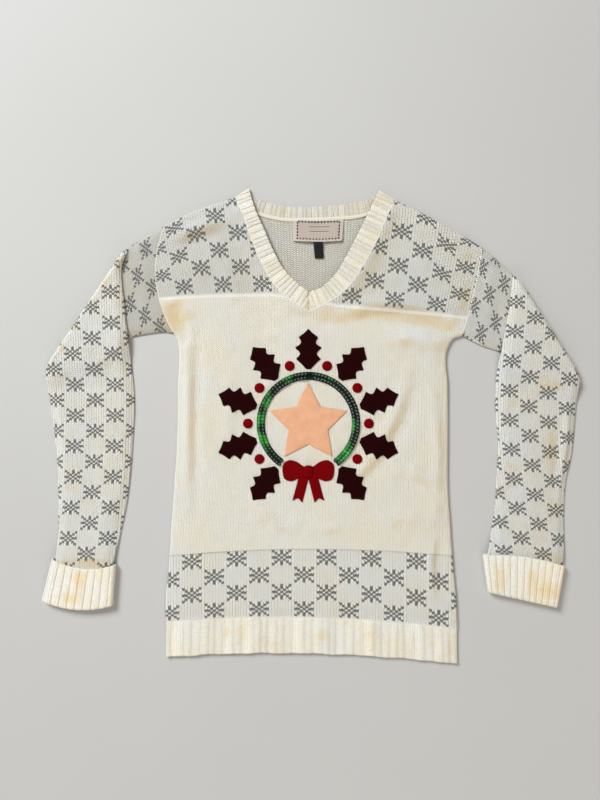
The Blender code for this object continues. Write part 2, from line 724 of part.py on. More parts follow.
def star_outline():
    """A five-pointed star with one point towards the neck."""
    angles = np.radians(90 + 36 * np.arange(10))
    radii = np.where(np.arange(10) % 2 == 0, STAR_POINT, STAR_NOTCH)
    return np.column_stack([np.cos(angles), np.sin(angles)]) * radii[:, None] + ART_CENTRE


def ring_outline():
    """An open ring, with a gap at the bottom for the bow."""
    start, end = 270 + RING_GAP, 270 - RING_GAP + 360
    return np.vstack([arc(RING_OUTER, start, end, 29), arc(RING_INNER, end, start, 29)])


def leaf_outline(angle):
    """A holly leaf that points away from the middle of the appliqué."""
    along = [row.along * LEAF_LENGTH for row in LEAF_EDGE]
    half = [row.half for row in LEAF_EDGE]
    right = [(LEAF_ROOT + a, -h) for a, h in zip(along, half)]
    left = [(LEAF_ROOT + a, h) for a, h in zip(along, half)]
    local = np.array(right + [(LEAF_ROOT + LEAF_LENGTH, 0.0)] + left[::-1])
    turn = math.radians(angle)
    spin = np.array([[math.cos(turn), math.sin(turn)], [-math.sin(turn), math.cos(turn)]])
    return local @ spin + ART_CENTRE


def bow_outline():
    """The felt bow: two loops and two tails in one piece, on the ring's gap."""
    half = np.array(BOW_EDGE)
    mirrored = half[1:-1][::-1] * (-1, 1)
    middle = np.array(ART_CENTRE) - (0.0, (RING_INNER + RING_OUTER) / 2)
    return (np.vstack([half, mirrored]) + middle)[::-1]


def box_outline(centre_x, centre_y, half_x, half_y, corner):
    """A rectangle with cut corners."""
    xs = (half_x, half_x - corner, corner - half_x, -half_x, -half_x, corner - half_x, half_x - corner, half_x)
    ys = (half_y - corner, half_y, half_y, half_y - corner, corner - half_y, -half_y, -half_y, corner - half_y)
    return np.column_stack([xs, ys]) + (centre_x, centre_y)


def build_applique():
    """The felt pieces, flat on the front's flat middle."""
    low_z = FRONT_MID + BODY_LOFT + WALL / 2 + SEAM
    flat_piece("star", star_outline(), low_z, FELT, PEACH_FELT)
    flat_piece("sequin_ring", ring_outline(), low_z, FELT, SEQUIN_GREEN)
    for number in range(LEAF_COUNT):
        angle = 270 + LEAF_TURN * (number + 1)
        flat_piece(f"leaf_{number + 1}", leaf_outline(angle), low_z, FELT, BROWN_FELT)
    for number in range(LEAF_COUNT - 1):
        angle = math.radians(270 + LEAF_TURN * (number + 1.5))
        centre = np.array(ART_CENTRE) + BERRY_PLACE * np.array([math.cos(angle), math.sin(angle)])
        turns = np.radians(np.arange(0, 360, ROUND_STEP))
        outline = centre + BERRY_RADIUS * np.column_stack([np.cos(turns), np.sin(turns)])
        flat_piece(f"berry_{number + 1}", outline, low_z, FELT, RED_FELT)
    flat_piece("bow", bow_outline(), low_z, FELT, RED_FELT)
    knot_y = ART_CENTRE[1] - (RING_INNER + RING_OUTER) / 2
    knot = box_outline(ART_CENTRE[0], knot_y, *KNOT_HALF, KNOT_CORNER)
    flat_piece("bow_knot", knot, low_z + FELT + SEAM, FELT, RED_FELT)


def build_label():
    """The woven label and the size tab under its lower edge, on the inside of the back."""
    for name, box, finish in (("neck_label", LABEL_BOX, LABEL_WHITE), ("size_tab", TAB_BOX, TAB_BLACK)):
        left, low, right, high = box
        outline = [(left, low), (right, low), (right, high), (left, high)]
        flat_piece(name, outline, WALL + SEAM, LABEL, finish)


def main():
    clear_scene()
    collection = bpy.data.collections.new("christmas_sweater")
    bpy.context.scene.collection.children.link(collection)
    build_back_panel()
    build_front_panel()
    left = sleeve_stations(LEFT_ARMHOLE, -1, LEFT_UPPER, LEFT_CREST, LEFT_LOWER, LEFT_FREE, LEFT_TURN)
    tube("sleeve_left", left, CREAM)
    right = sleeve_stations(RIGHT_ARMHOLE, 1, RIGHT_UPPER, RIGHT_CREST, RIGHT_LOWER, RIGHT_FREE, RIGHT_TURN)
    tube("sleeve_right", right, CREAM)
    build_cuff("cuff_left", LEFT_FREE, LEFT_TURN)
    build_cuff("cuff_right", RIGHT_FREE, RIGHT_TURN)
    build_hem_rib()
    build_collar()
    build_label()
    build_applique()


main()
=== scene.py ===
"""A cream V-neck Christmas sweater laid flat: knitting, ribs, felt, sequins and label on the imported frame.

Metres, +Z up, hem towards -Y, neck towards +Y, underside at Z = 0, as in the frame.
"""

import functools
import math
from collections import namedtuple

import bpy
import numpy as np
from bpy.props import FloatProperty, FloatVectorProperty, IntProperty, PointerProperty
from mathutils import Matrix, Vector
from mathutils.geometry import delaunay_2d_cdt


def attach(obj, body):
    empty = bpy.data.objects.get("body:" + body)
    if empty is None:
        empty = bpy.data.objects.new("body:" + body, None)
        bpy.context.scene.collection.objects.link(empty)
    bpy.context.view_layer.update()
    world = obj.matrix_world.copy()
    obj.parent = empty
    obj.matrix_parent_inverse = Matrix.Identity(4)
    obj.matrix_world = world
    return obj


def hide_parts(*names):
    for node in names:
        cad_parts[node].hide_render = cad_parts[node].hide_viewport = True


bl_info = {
    "name": "Christmas Sweater",
    "version": (1, 0, 0),
    "blender": (4, 5, 0),
    "location": "3D View > Sidebar > Sweater",
    "description": "Knits, ribs and trims a sweater that lies flat",
    "category": "Object",
}

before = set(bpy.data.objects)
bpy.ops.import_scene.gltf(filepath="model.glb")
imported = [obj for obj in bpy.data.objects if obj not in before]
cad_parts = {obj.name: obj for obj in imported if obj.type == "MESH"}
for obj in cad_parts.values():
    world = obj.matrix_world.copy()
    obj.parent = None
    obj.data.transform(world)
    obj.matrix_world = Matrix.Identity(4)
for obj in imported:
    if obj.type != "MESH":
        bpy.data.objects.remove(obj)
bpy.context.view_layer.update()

# Cloth and gaps
WALL = 0.0025
SEAM = 0.0003
BACK_MID = WALL / 2
FRONT_MID = WALL + SEAM + WALL / 2
FLAT_TUBE = 2 * WALL + SEAM
HALF_TUBE = FLAT_TUBE / 2
THINNEST = 0.0002

# How far the front stands off the back
BODY_LOFT = 0.0015
NECK_LIFT = 0.0032
NECK_REACH = 0.026
EDGE_FADE = 0.028
FOLD_FADE = 0.014

# Painted light on slopes: shade where they lean to the lower right, away from the key light, cool highlight
# where they lean the other way; beyond STEEP they count as an edge and take no tint
AWAY_FROM_KEY_LIGHT = (0.62, -0.78, 0.0)
STEEP = 0.3
STEEP_FADE = 0.16
SLEEVE_PAINTED_LIGHT = 0.45

# Rounded sides and sunk seams: how far from the edge they start and how deep they go
SIDE_ROUND = 0.0045
SIDE_DROP = 0.0023
SEAM_WIDTH = 0.0028
SEAM_SINK = 0.0006
JOIN = 0.0006

# Meshes of the panels: rings of points near their edges, and the size of the back's facets
PANEL_RIMS = (0.0007, 0.0018, 0.0034)
BACK_STEP = 0.0045

# Sleeve folds
FOLD_GAP = 0.0006
FOLD_HEIGHT = 0.006
DROP_START = 0.004
DROP_LENGTH = 0.04
BEND_STEPS = 9
SLEEVE_ROUND = 136
SLEEVE_STEP = 0.003
SLEEVE_START = (0.0, 0.0006, 0.0013, 0.0021)
SLEEVE_BODY = 0.0033
SLEEVE_EDGE = 1.2
EDGE_THIN = 0.52
EDGE_SPAN = 0.012

# Painted shade of the upper sleeves and of the yoke, and how the yoke's falls off to the right
SLEEVE_PAINTED_SHADE = {"left": 0.98, "right": 0.5}
YOKE_PAINTED_SHADE = 0.48
YOKE_PAINTED_SHADE_TURN = 0.7
YOKE_PAINTED_SHADE_MOST = 0.6

# Slopes nearer to a seam than this take less painted light
SEAM_CALM = 0.006

# Turned-back cuffs
CUFF_INNER = (SEAM, SEAM + WALL)
CUFF_OUTER = (2 * SEAM + WALL, 2 * SEAM + 2 * WALL)
CUFF_DEPTH = 0.06
CUFF_TUCK = 0.13
CUFF_SLIT = 0.933
SLEEVE_MOUTH = -0.16
SLEEVE_END = 0.12
TURN_SHOULDER = 0.7

# Collar: sections along it and round each shoulder's fold, and how far from the mitre its run is settled
COLLAR_STEP = 0.00105
COLLAR_WIDTH = 0.024
SHOULDER_SECTIONS = 13
MITRE_RUN = 12
TAPE_REACH = (0.0004, 0.0058)

# Appliqué
ART_CENTRE = (-0.004, 0.004)
ART_RADIUS = 0.15
STAR_POINT = 0.061
STAR_NOTCH = 0.031
RING_INNER = 0.065
RING_OUTER = 0.077
RING_GAP = 35
RING_SPAN = (270 + RING_GAP, 630 - RING_GAP)
LEAF_ROOT = 0.081
LEAF_LENGTH = 0.06
LEAF_COUNT = 9
LEAF_TURN = 36
BERRY_RADIUS = 0.0075
BERRY_PLACE = 0.09
KNOT_HALF = (0.0065, 0.009)
BOW_CENTRE = (ART_CENTRE[0], ART_CENTRE[1] - (RING_INNER + RING_OUTER) / 2)
FELT_RIMS = (0.0004, 0.0011)
FELT_ROUND = 0.0012
FELT_STITCH_INSET = 0.0017

Edge = namedtuple("Edge", "y left right")
Course = namedtuple("Course", "centre tilt drop")
Point = namedtuple("Point", "x y")
Band = namedtuple("Band", "seam_x seam_y free_x free_y")
Armhole = namedtuple("Armhole", "top_x top_y bottom_x bottom_y bow")
Station = namedtuple("Station", "over_x over_y under_x under_y bow height", defaults=(0.0, FOLD_HEIGHT))
Line = namedtuple("Line", "over_x over_y under_x under_y bow", defaults=(0.0,))
Crease = namedtuple("Crease", "x0 y0 x1 y1 x2 y2 width height")
LeafEdge = namedtuple("LeafEdge", "along half")
Wale = namedtuple("Wale", "x stitch")
Motif = namedtuple("Motif", "x y stitch_x stitch_y row_x row_y")
Column = namedtuple("Column", "y x")
Hollow = namedtuple("Hollow", "x y reach_x reach_y warmth")
Rib = namedtuple("Rib", "stitches row step depth ridge shade tint points", defaults=(0,))
Groove = namedtuple("Groove", "place width depth")
Sewing = namedtuple("Sewing", "spacing length width turn")
Lamp = namedtuple("Lamp", "name place width share colour")

# Ribbed pieces: stitches to a rib, height of a row, step of the wall's section, share of the groove depth,
# sharpness of the ridges, strength of the clouds and of the painted shade in the grooves, colour, and mesh
# points to a rib of a tube
CUFF_RIB = Rib(3.0, 0.003, 0.0011, 0.85, 0.4, 0.58, (1.0, 0.955, 0.855), 10)
HEM_RIB = Rib(4.0, 0.0032, 0.0012, 0.55, 0.9, 0.3, (0.96, 0.925, 0.835), 11)
COLLAR_RIB = Rib(2.0, 0.003, 0.0009, 0.85, 0.6, 0.62, (0.885, 0.845, 0.755))

# Side edges of the torso, from hem to underarm
TORSO = (
    Edge(-0.252, -0.2172, 0.2168),
    Edge(-0.228, -0.214, 0.2145),
    Edge(-0.192, -0.2115, 0.2115),
    Edge(-0.144, -0.2085, 0.208),
    Edge(-0.096, -0.205, 0.2048),
    Edge(-0.024, -0.2003, 0.2046),
    Edge(0.06, -0.199, 0.2046),
    Edge(0.118, -0.198, 0.205),
    Edge(0.13, -0.2, 0.212),
)

# Rows of knitting bow down at the sides: height at the middle, tilt and drop at HALF_CHEST
HALF_CHEST = 0.215
HEM_BOTTOM = Course(-0.3398, -0.005, -0.0102)
HEM_TOP = Course(-0.285, -0.0055, -0.0115)
BAND_TOP = Course(-0.1845, 0.0, -0.0105)
HEM_WAVE = 0.0005
HEM_LEFT = -0.2176
HEM_RIGHT = 0.2194

LEFT_ARMHOLE = Armhole(-0.2185, 0.3005, -0.205, 0.138, -0.0205)
RIGHT_ARMHOLE = Armhole(0.256, 0.2675, 0.226, 0.135, 0.003)

LEFT_SHOULDER = (Point(-0.1365, 0.3345), Point(-0.1725, 0.322), Point(-0.1965, 0.311))
RIGHT_SHOULDER = (Point(0.156, 0.323), Point(0.186, 0.308), Point(0.2205, 0.288))

# Collar band, from the fold at each shoulder down to the point of the V
COLLAR_LEFT = (
    Band(-0.114, 0.342, -0.093, 0.3559),
    Band(-0.102, 0.3165, -0.0825, 0.3225),
    Band(-0.09, 0.282, -0.0698, 0.294),
    Band(-0.0765, 0.249, -0.0555, 0.261),
    Band(-0.0585, 0.216, -0.039, 0.2325),
    Band(-0.0375, 0.1925, -0.0215, 0.214),
    Band(-0.003, 0.1703, -0.003, 0.1995),
)
COLLAR_RIGHT = (
    Band(0.126, 0.3375, 0.102, 0.3525),
    Band(0.114, 0.315, 0.087, 0.321),
    Band(0.0975, 0.276, 0.069, 0.285),
    Band(0.0795, 0.243, 0.0525, 0.2535),
    Band(0.0585, 0.2115, 0.036, 0.2265),
    Band(0.0345, 0.19, 0.0175, 0.2085),
    Band(-0.003, 0.1703, -0.003, 0.1995),
)
COLLAR_BACK = (
    Band(-0.114, 0.342, -0.093, 0.3559),
    Band(-0.098, 0.329, -0.0865, 0.343),
    Band(-0.0735, 0.319, -0.07, 0.3362),
    Band(-0.0465, 0.3125, -0.045, 0.33),
    Band(-0.003, 0.3115, -0.003, 0.3285),
    Band(0.0435, 0.3135, 0.043, 0.3315),
    Band(0.0765, 0.3175, 0.076, 0.3368),
    Band(0.105, 0.3265, 0.0945, 0.343),
    Band(0.126, 0.3375, 0.102, 0.3525),
)

# Sleeves: over is the edge that runs on from the shoulder, under the edge that runs on from the underarm
LEFT_UPPER = (
    Station(-0.229, 0.295, -0.22, 0.14, -0.015, 0.0055),
    Station(-0.239, 0.2885, -0.245, 0.1375, -0.008, 0.0058),
    Station(-0.249, 0.282, -0.272, 0.132, -0.003, 0.006),
    Station(-0.258, 0.2765, -0.308, 0.118),
    Station(-0.267, 0.2715, -0.35, 0.101),
)
LEFT_CREST = Line(-0.2765, 0.267, -0.3985, 0.084)
LEFT_LOWER = (
    Station(-0.281, 0.24, -0.3965, 0.076),
    Station(-0.281, 0.215, -0.395, 0.07),
    Station(-0.278, 0.19, -0.3945, 0.063),
    Station(-0.275, 0.16, -0.3935, 0.055),
    Station(-0.272, 0.13, -0.392, 0.045),
    Station(-0.269, 0.095, -0.39, 0.032),
    Station(-0.2655, 0.063, -0.388, 0.016),
    Station(-0.264, 0.03, -0.3855, 0.0),
    Station(-0.2665, -0.015, -0.3825, -0.028),
    Station(-0.269, -0.056, -0.3798, -0.062),
    Station(-0.276, -0.1155, -0.3785, -0.12, 0.0, 0.0058),
    Station(-0.285, -0.16, -0.379, -0.16, 0.0, 0.0056),
)
LEFT_FREE = Line(-0.29, -0.2075, -0.3865, -0.1985, -0.0085)
LEFT_TURN = Line(-0.2945, -0.269, -0.402, -0.262, -0.008)

RIGHT_UPPER = (
    Station(0.265, 0.26, 0.2365, 0.129, 0.002, 0.0055),
    Station(0.274, 0.2525, 0.255, 0.12, 0.001, 0.0058),
    Station(0.283, 0.245, 0.28, 0.112),
    Station(0.29, 0.239, 0.315, 0.101),
    Station(0.2965, 0.2335, 0.356, 0.088),
)
RIGHT_CREST = Line(0.306, 0.226, 0.4024, 0.075)
RIGHT_LOWER = (
    Station(0.2975, 0.205, 0.4005, 0.068),
    Station(0.2955, 0.185, 0.4, 0.062),
    Station(0.2925, 0.165, 0.3995, 0.055),
    Station(0.288, 0.14, 0.3985, 0.047),
    Station(0.2835, 0.115, 0.3975, 0.037),
    Station(0.2785, 0.087, 0.3965, 0.024),
    Station(0.2755, 0.058, 0.395, 0.008),
    Station(0.2755, 0.025, 0.3935, -0.012),
    Station(0.28, -0.021, 0.3895, -0.046),
    Station(0.278, -0.065, 0.382, -0.079),
    Station(0.2745, -0.1245, 0.3785, -0.133, 0.0, 0.0058),
    Station(0.269, -0.16, 0.379, -0.164, 0.0, 0.0056),
)
RIGHT_FREE = Line(0.2555, -0.19, 0.3785, -0.207, 0.005)
RIGHT_TURN = Line(0.263, -0.2475, 0.367, -0.2705)

# Creases of the front: start, bend and end of each ridge or trough, its half-width and its height
CREASES = (
    Crease(0.22, 0.156, 0.128, 0.208, 0.03, 0.164, 0.0105, 0.0042),
    Crease(0.215, 0.133, 0.125, 0.183, 0.035, 0.145, 0.0085, -0.003),
    Crease(0.212, 0.112, 0.15, 0.145, 0.095, 0.122, 0.011, 0.0032),
    Crease(-0.187, 0.155, -0.181, 0.04, -0.188, -0.13, 0.008, 0.003),
    Crease(-0.169, 0.17, -0.165, 0.04, -0.172, -0.15, 0.008, -0.0022),
    Crease(-0.212, 0.18, -0.202, 0.158, -0.188, 0.118, 0.011, -0.005),
    Crease(-0.196, 0.178, -0.176, 0.17, -0.162, 0.175, 0.009, 0.0008),
    Crease(0.09, -0.138, 0.15, -0.13, 0.2, -0.15, 0.012, 0.0018),
    Crease(0.088, -0.043, 0.15, -0.064, 0.204, -0.088, 0.01, 0.0022),
    Crease(0.09, -0.07, 0.15, -0.085, 0.204, -0.108, 0.009, -0.0016),
    Crease(-0.15, 0.27, -0.125, 0.225, -0.1, 0.19, 0.013, 0.0022),
    Crease(-0.115, 0.305, -0.165, 0.305, -0.215, 0.275, 0.011, 0.003),
    Crease(-0.125, 0.285, -0.17, 0.28, -0.215, 0.255, 0.009, -0.0016),
    Crease(0.125, 0.29, 0.16, 0.235, 0.215, 0.215, 0.013, 0.0024),
    Crease(0.145, 0.305, 0.195, 0.29, 0.24, 0.245, 0.01, 0.0022),
    Crease(-0.21, 0.24, -0.17, 0.23, -0.14, 0.24, 0.012, 0.0016),
    Crease(0.178, 0.07, 0.195, -0.02, 0.186, -0.15, 0.008, 0.002),
    Crease(0.196, -0.156, 0.185, -0.21, 0.196, -0.275, 0.0065, -0.0026),
    Crease(0.182, -0.165, 0.173, -0.215, 0.183, -0.27, 0.007, 0.0016),
    Crease(-0.13, -0.2, -0.1, -0.225, -0.07, -0.27, 0.011, 0.0016),
    Crease(-0.03, -0.195, 0.02, -0.225, 0.035, -0.27, 0.01, 0.0014),
)

# Faint drag lines round the appliqué, low enough for the felt to follow
DRAGS = (
    Crease(-0.035, 0.095, -0.015, 0.06, 0.015, 0.045, 0.006, 0.0009),
    Crease(0.148, 0.095, 0.126, -0.015, 0.048, -0.096, 0.009, 0.0026),
    Crease(0.166, 0.09, 0.142, -0.03, 0.06, -0.112, 0.0085, -0.0018),
    Crease(-0.09, -0.095, -0.07, -0.145, -0.015, -0.162, 0.0085, 0.0024),
    Crease(-0.085, -0.12, -0.06, -0.165, -0.01, -0.178, 0.008, -0.0016),
    Crease(-0.01, -0.156, 0.03, -0.148, 0.07, -0.156, 0.007, 0.0014),
    Crease(-0.125, 0.1, -0.118, 0.03, -0.125, -0.05, 0.01, 0.0012),
    Crease(-0.1, 0.13, -0.03, 0.145, 0.06, 0.125, 0.01, 0.0012),
)

# Soft folds of the sleeves, and of the ribs at hem and cuffs
SLEEVE_CREASES = (
    Crease(-0.24, 0.275, -0.25, 0.22, -0.245, 0.15, 0.011, 0.0012),
    Crease(-0.27, 0.2, -0.26, 0.18, -0.25, 0.155, 0.008, -0.0014),
    Crease(-0.38, 0.06, -0.36, 0.0, -0.365, -0.1, 0.01, 0.0012),
    Crease(-0.29, 0.21, -0.285, 0.1, -0.285, 0.0, 0.007, 0.0012),
    Crease(-0.335, 0.03, -0.325, -0.04, -0.335, -0.13, 0.013, -0.0012),
    Crease(-0.3, -0.08, -0.305, -0.13, -0.315, -0.185, 0.011, 0.0014),
    Crease(0.272, 0.235, 0.268, 0.2, 0.26, 0.15, 0.01, 0.0012),
    Crease(0.285, 0.2, 0.28, 0.17, 0.275, 0.13, 0.008, -0.0014),
    Crease(0.385, 0.05, 0.38, -0.02, 0.372, -0.12, 0.0055, 0.0016),
    Crease(0.372, 0.04, 0.368, -0.03, 0.36, -0.13, 0.006, -0.0012),
    Crease(0.31, 0.15, 0.33, 0.09, 0.365, 0.07, 0.012, 0.0014),
    Crease(0.315, 0.01, 0.335, -0.06, 0.33, -0.16, 0.013, 0.0013),
    Crease(0.295, -0.03, 0.298, -0.09, 0.29, -0.16, 0.009, -0.0011),
)
RIB_CREASES = (
    Crease(-0.123, -0.285, -0.122, -0.31, -0.13, -0.34, 0.006, -0.0009),
    Crease(-0.113, -0.28, -0.108, -0.3, -0.098, -0.315, 0.009, 0.001),
    Crease(-0.09, -0.3, -0.08, -0.315, -0.06, -0.33, 0.01, 0.001),
    Crease(0.0, -0.285, 0.015, -0.305, 0.03, -0.325, 0.009, 0.0009),
    Crease(0.095, -0.285, 0.085, -0.305, 0.065, -0.325, 0.01, 0.001),
    Crease(0.15, -0.29, 0.17, -0.31, 0.185, -0.33, 0.006, 0.0012),
    Crease(-0.35, -0.21, -0.345, -0.235, -0.35, -0.265, 0.009, 0.001),
    Crease(0.315, -0.195, 0.32, -0.225, 0.315, -0.25, 0.009, 0.001),
)

# Painted shade: hollows where the yarn is painted ochre, and a cool painted highlight where the shading is
# below zero
HOLLOWS = (
    Hollow(-0.204, 0.163, 0.019, 0.024, 0.52),
    Hollow(-0.287, 0.2445, 0.008, 0.012, 0.3),
    Hollow(-0.308, 0.213, 0.008, 0.0125, 0.34),
    Hollow(-0.329, 0.182, 0.008, 0.0125, 0.34),
    Hollow(-0.35, 0.15, 0.008, 0.0125, 0.34),
    Hollow(-0.371, 0.1185, 0.008, 0.0125, 0.34),
    Hollow(-0.389, 0.092, 0.007, 0.011, 0.28),
    Hollow(-0.345, -0.201, 0.03, 0.005, 0.26),
    Hollow(0.352, -0.193, 0.022, 0.006, 0.26),
    Hollow(-0.333, 0.085, 0.016, 0.022, -0.2),
    Hollow(-0.25, 0.244, 0.01, 0.014, -0.25),
    Hollow(-0.316, -0.022, 0.02, 0.014, 0.14),
    Hollow(-0.352, -0.092, 0.012, 0.012, 0.13),
    Hollow(-0.332, -0.113, 0.01, 0.01, 0.18),
    Hollow(-0.334, -0.16, 0.016, 0.012, -0.22),
    Hollow(-0.32, -0.204, 0.014, 0.008, 0.28),
    Hollow(-0.368, -0.203, 0.008, 0.006, 0.2),
    Hollow(-0.346, -0.225, 0.011, 0.014, 0.32),
    Hollow(-0.357, -0.254, 0.014, 0.01, 0.28),
    Hollow(0.3, 0.085, 0.02, 0.016, -0.24),
    Hollow(0.385, 0.045, 0.01, 0.022, -0.22),
    Hollow(0.312, -0.1, 0.014, 0.018, -0.2),
    Hollow(0.314, -0.14, 0.012, 0.016, -0.2),
    Hollow(0.3585, 0.06, 0.02, 0.008, 0.24),
    Hollow(0.357, -0.036, 0.01, 0.034, 0.3),
    Hollow(0.357, -0.12, 0.009, 0.022, 0.16),
    Hollow(0.3, 0.036, 0.012, 0.014, 0.15),
    Hollow(0.297, -0.062, 0.014, 0.01, 0.18),
    Hollow(0.34, -0.165, 0.016, 0.012, 0.17),
    Hollow(0.282, -0.228, 0.01, 0.018, 0.26),
    Hollow(0.35, -0.243, 0.02, 0.016, 0.3),
    Hollow(0.327, -0.224, 0.007, 0.02, 0.16),
    Hollow(0.23, 0.19, 0.008, 0.027, 0.2),
    Hollow(0.264, 0.25, 0.012, 0.01, -0.22),
    Hollow(0.035, 0.157, 0.024, 0.008, 0.21),
    Hollow(0.072, 0.164, 0.024, 0.0085, 0.23),
    Hollow(0.117, 0.166, 0.028, 0.0095, 0.28),
    Hollow(0.16, 0.157, 0.025, 0.0095, 0.31),
    Hollow(0.195, 0.149, 0.016, 0.008, 0.25),
    Hollow(0.17, 0.135, 0.032, 0.006, -0.3),
    Hollow(-0.11, -0.31, 0.016, 0.015, 0.17),
    Hollow(-0.06, -0.322, 0.012, 0.009, 0.14),
    Hollow(0.02, -0.314, 0.015, 0.012, 0.17),
    Hollow(0.09, -0.318, 0.014, 0.01, 0.13),
    Hollow(0.208, -0.333, 0.008, 0.014, 0.16),
)

# Half outline of a holly leaf: spikes at even rows, hollows between them
LEAF_EDGE = (
    LeafEdge(0.0, 0.0035),
    LeafEdge(0.12, 0.01),
    LeafEdge(0.25, 0.0185),
    LeafEdge(0.38, 0.0125),
    LeafEdge(0.53, 0.02),
    LeafEdge(0.66, 0.011),
    LeafEdge(0.79, 0.0145),
    LeafEdge(0.9, 0.006),
    LeafEdge(1.0, 0.0),
)

# Right half of the felt bow, from the middle of its top edge to that of its bottom edge;
# the first points are a round loop, the others corners
BOW_EDGE = (
    Point(0.0, 0.006),
    Point(0.006, 0.007),
    Point(0.017, 0.014),
    Point(0.029, 0.0165),
    Point(0.037, 0.011),
    Point(0.0385, -0.001),
    Point(0.035, -0.012),
    Point(0.026, -0.015),
    Point(0.015, -0.011),
    Point(0.024, -0.044),
    Point(0.0155, -0.04),
    Point(0.009, -0.047),
    Point(0.0, -0.012),
)
BOW_LOOP = 9

# Grooves pressed into the felt by its edge stitches and along its veins
EDGE_GROOVE = Groove(0.0019, 0.0005, 0.0003)
VEIN_GROOVE = Groove(0.0, 0.0007, 0.00042)

# Stitches of the chains at neck, armholes and hem, and of the label's border
NECK_CHAIN = Sewing(0.0034, 0.0034, 0.0021, 0.25)
ARMHOLE_CHAIN = Sewing(0.0036, 0.0031, 0.0021, 0.35)
HEM_CHAIN = Sewing(0.0042, 0.0033, 0.0018, 0.3)
BORDER_STITCH = Sewing(0.0048, 0.0034, 0.0021, 0.5)
CHAIN_STEP = 0.0015

# Label and size tab inside the back neck, and the stitched border of the label
LABEL_BOX = (-0.027, 0.2765, 0.049, 0.3095)
LABEL_BORDER = (-0.0205, 0.2805, 0.043, 0.3065)
LABEL_SAG = 0.0016
LABEL_DRAW = 0.0026
TAB_BOX = (0.0035, 0.2505, 0.017, 0.2762)
TAB_LEAN = 0.0022
LABEL_RIMS = (0.0005,)
LABEL_THICKNESS = 0.0006
TAB_THICKNESS = 0.0008

# Snowflake knitting. Counts of stitches and rows place the repeat of sixteen on each piece
REPEAT = 16
FLAKE_REACH = 3
BAND_ROWS = 31
YOKE_ROW = 142.7
YOKE_ROW_HEIGHT = 0.0032
YOKE_FAN = 0.9
YOKE_SQUEEZE = 0.2
YOKE_LINE = (
    Point(-0.232, 0.19),
    Point(-0.15, 0.1945),
    Point(-0.061, 0.196),
    Point(-0.01, 0.19),
    Point(0.034, 0.18),
    Point(0.12, 0.1725),
    Point(0.202, 0.165),
    Point(0.24, 0.161),
)
YOKE_WALES = (
    Wale(-0.25, -62.2),
    Wale(-0.1864, -44.5),
    Wale(-0.1287, -28.5),
    Wale(-0.0725, -12.5),
    Wale(0.0602, 19.5),
    Wale(0.1223, 35.5),
    Wale(0.1844, 51.5),
    Wale(0.26, 71.0),
)
BAND_STITCH = 0.00418
BAND_MOTIF_X = -0.0104

# The knitting of each sleeve: one motif's centre, then the step of a stitch and of a row there
LEFT_UPPER_MOTIF = Motif(-0.2576, 0.224, 0.00064, -0.00365, -0.0021, -0.00154)
RIGHT_UPPER_MOTIF = Motif(0.2649, 0.1965, -0.00074, -0.00359, 0.00202, -0.00153)
LEFT_COLUMN = (
    Column(0.1785, -0.3265),
    Column(0.06, -0.3215),
    Column(-0.06, -0.324),
    Column(-0.189, -0.3345),
)
RIGHT_COLUMN = (
    Column(0.166, 0.3325),
    Column(0.05, 0.3245),
    Column(-0.06, 0.3295),
    Column(-0.189, 0.345),
)
LEFT_LOWER_MOTIF = Motif(0.0, 0.0855, 0.0037, 0.0, 0.0, -0.00286)
RIGHT_LOWER_MOTIF = Motif(0.0, 0.074, 0.0036, -0.0002, 0.0, -0.00274)

# Soft unevenness of lying cloth: waves along X and Y in turns per metre, and their phase
UNEVEN_WAVES = (
    (23.0, 9.0, 0.4),
    (11.0, 27.0, 2.1),
    (35.0, -17.0, 4.0),
    (-14.0, 41.0, 5.2),
    (47.0, 31.0, 1.3),
)

# Tints of the yarn: patches all over, painted ochre and tan shade in hollows and on slopes, painted cool
# highlight on slopes, painted shade, and the painted shade in the gaps of the knitting
WHITE = (1.0, 1.0, 1.0)
COOL_PATCH = (0.965, 0.99, 1.03)
WARM_PATCH = (1.0, 0.965, 0.885)
OCHRE_SHADE = (0.975, 0.855, 0.66)
TAN_SHADE = (0.93, 0.76, 0.62)
COOL_HIGHLIGHT = (1.0, 1.03, 1.1)
SHADE = (0.7, 0.7, 0.7)
GAP_SHADE = (0.4, 0.375, 0.325)
YARN_SURFACE = {"roughness": 0.92, "sheen_weight": 0.2, "sheen_roughness": 0.55, "specular_ior_level": 0.18}

# Lamps: where they stand, how wide they are, their share of the key light's power and their colour
LAMPS = (
    Lamp("key_light", (-2.0, 2.2, 2.1), 1.5, 1.0, (0.94, 0.975, 1.0)),
    Lamp("soft_light", (1.2, -1.0, 2.4), 1.8, 0.1, (1.0, 0.9, 0.76)),
    Lamp("low_light", (0.2, -2.6, 0.9), 1.6, 0.16, (0.96, 0.985, 1.0)),
)
SKYLIGHT = (1.0, 0.945, 0.86, 1.0)
FLOOR_HALF = 6.0


def colour_setting(name, description, default):
    """A colour that a user may change."""
    return FloatVectorProperty(name=name, description=description, default=default, subtype="COLOR")


def length_setting(name, description, default):
    """A length that a user may change."""
    return FloatProperty(name=name, description=description, default=default, unit="LENGTH", precision=4)


class KnitSettings(bpy.types.PropertyGroup):
    cream: colour_setting("Cream yarn", "Colour of the body's yarn", (0.93, 0.9, 0.815))
    rib: colour_setting("Rib yarn", "Colour of collar and neck tape", COLLAR_RIB.tint)
    cool_cream: colour_setting("Cream among grey", "Cream yarn with grey floats behind", (0.955, 0.95, 0.905))
    bright: colour_setting("Bright row", "Cream yarn of the row below the yoke", (0.95, 0.94, 0.9))
    grey: colour_setting("Grey yarn", "Colour of the snowflakes", (0.08, 0.081, 0.077))
    step: length_setting("Mesh step", "Size of the body's facets", 0.003)
    uneven: length_setting("Unevenness", "Height of the soft waves in the cloth", 0.00028)


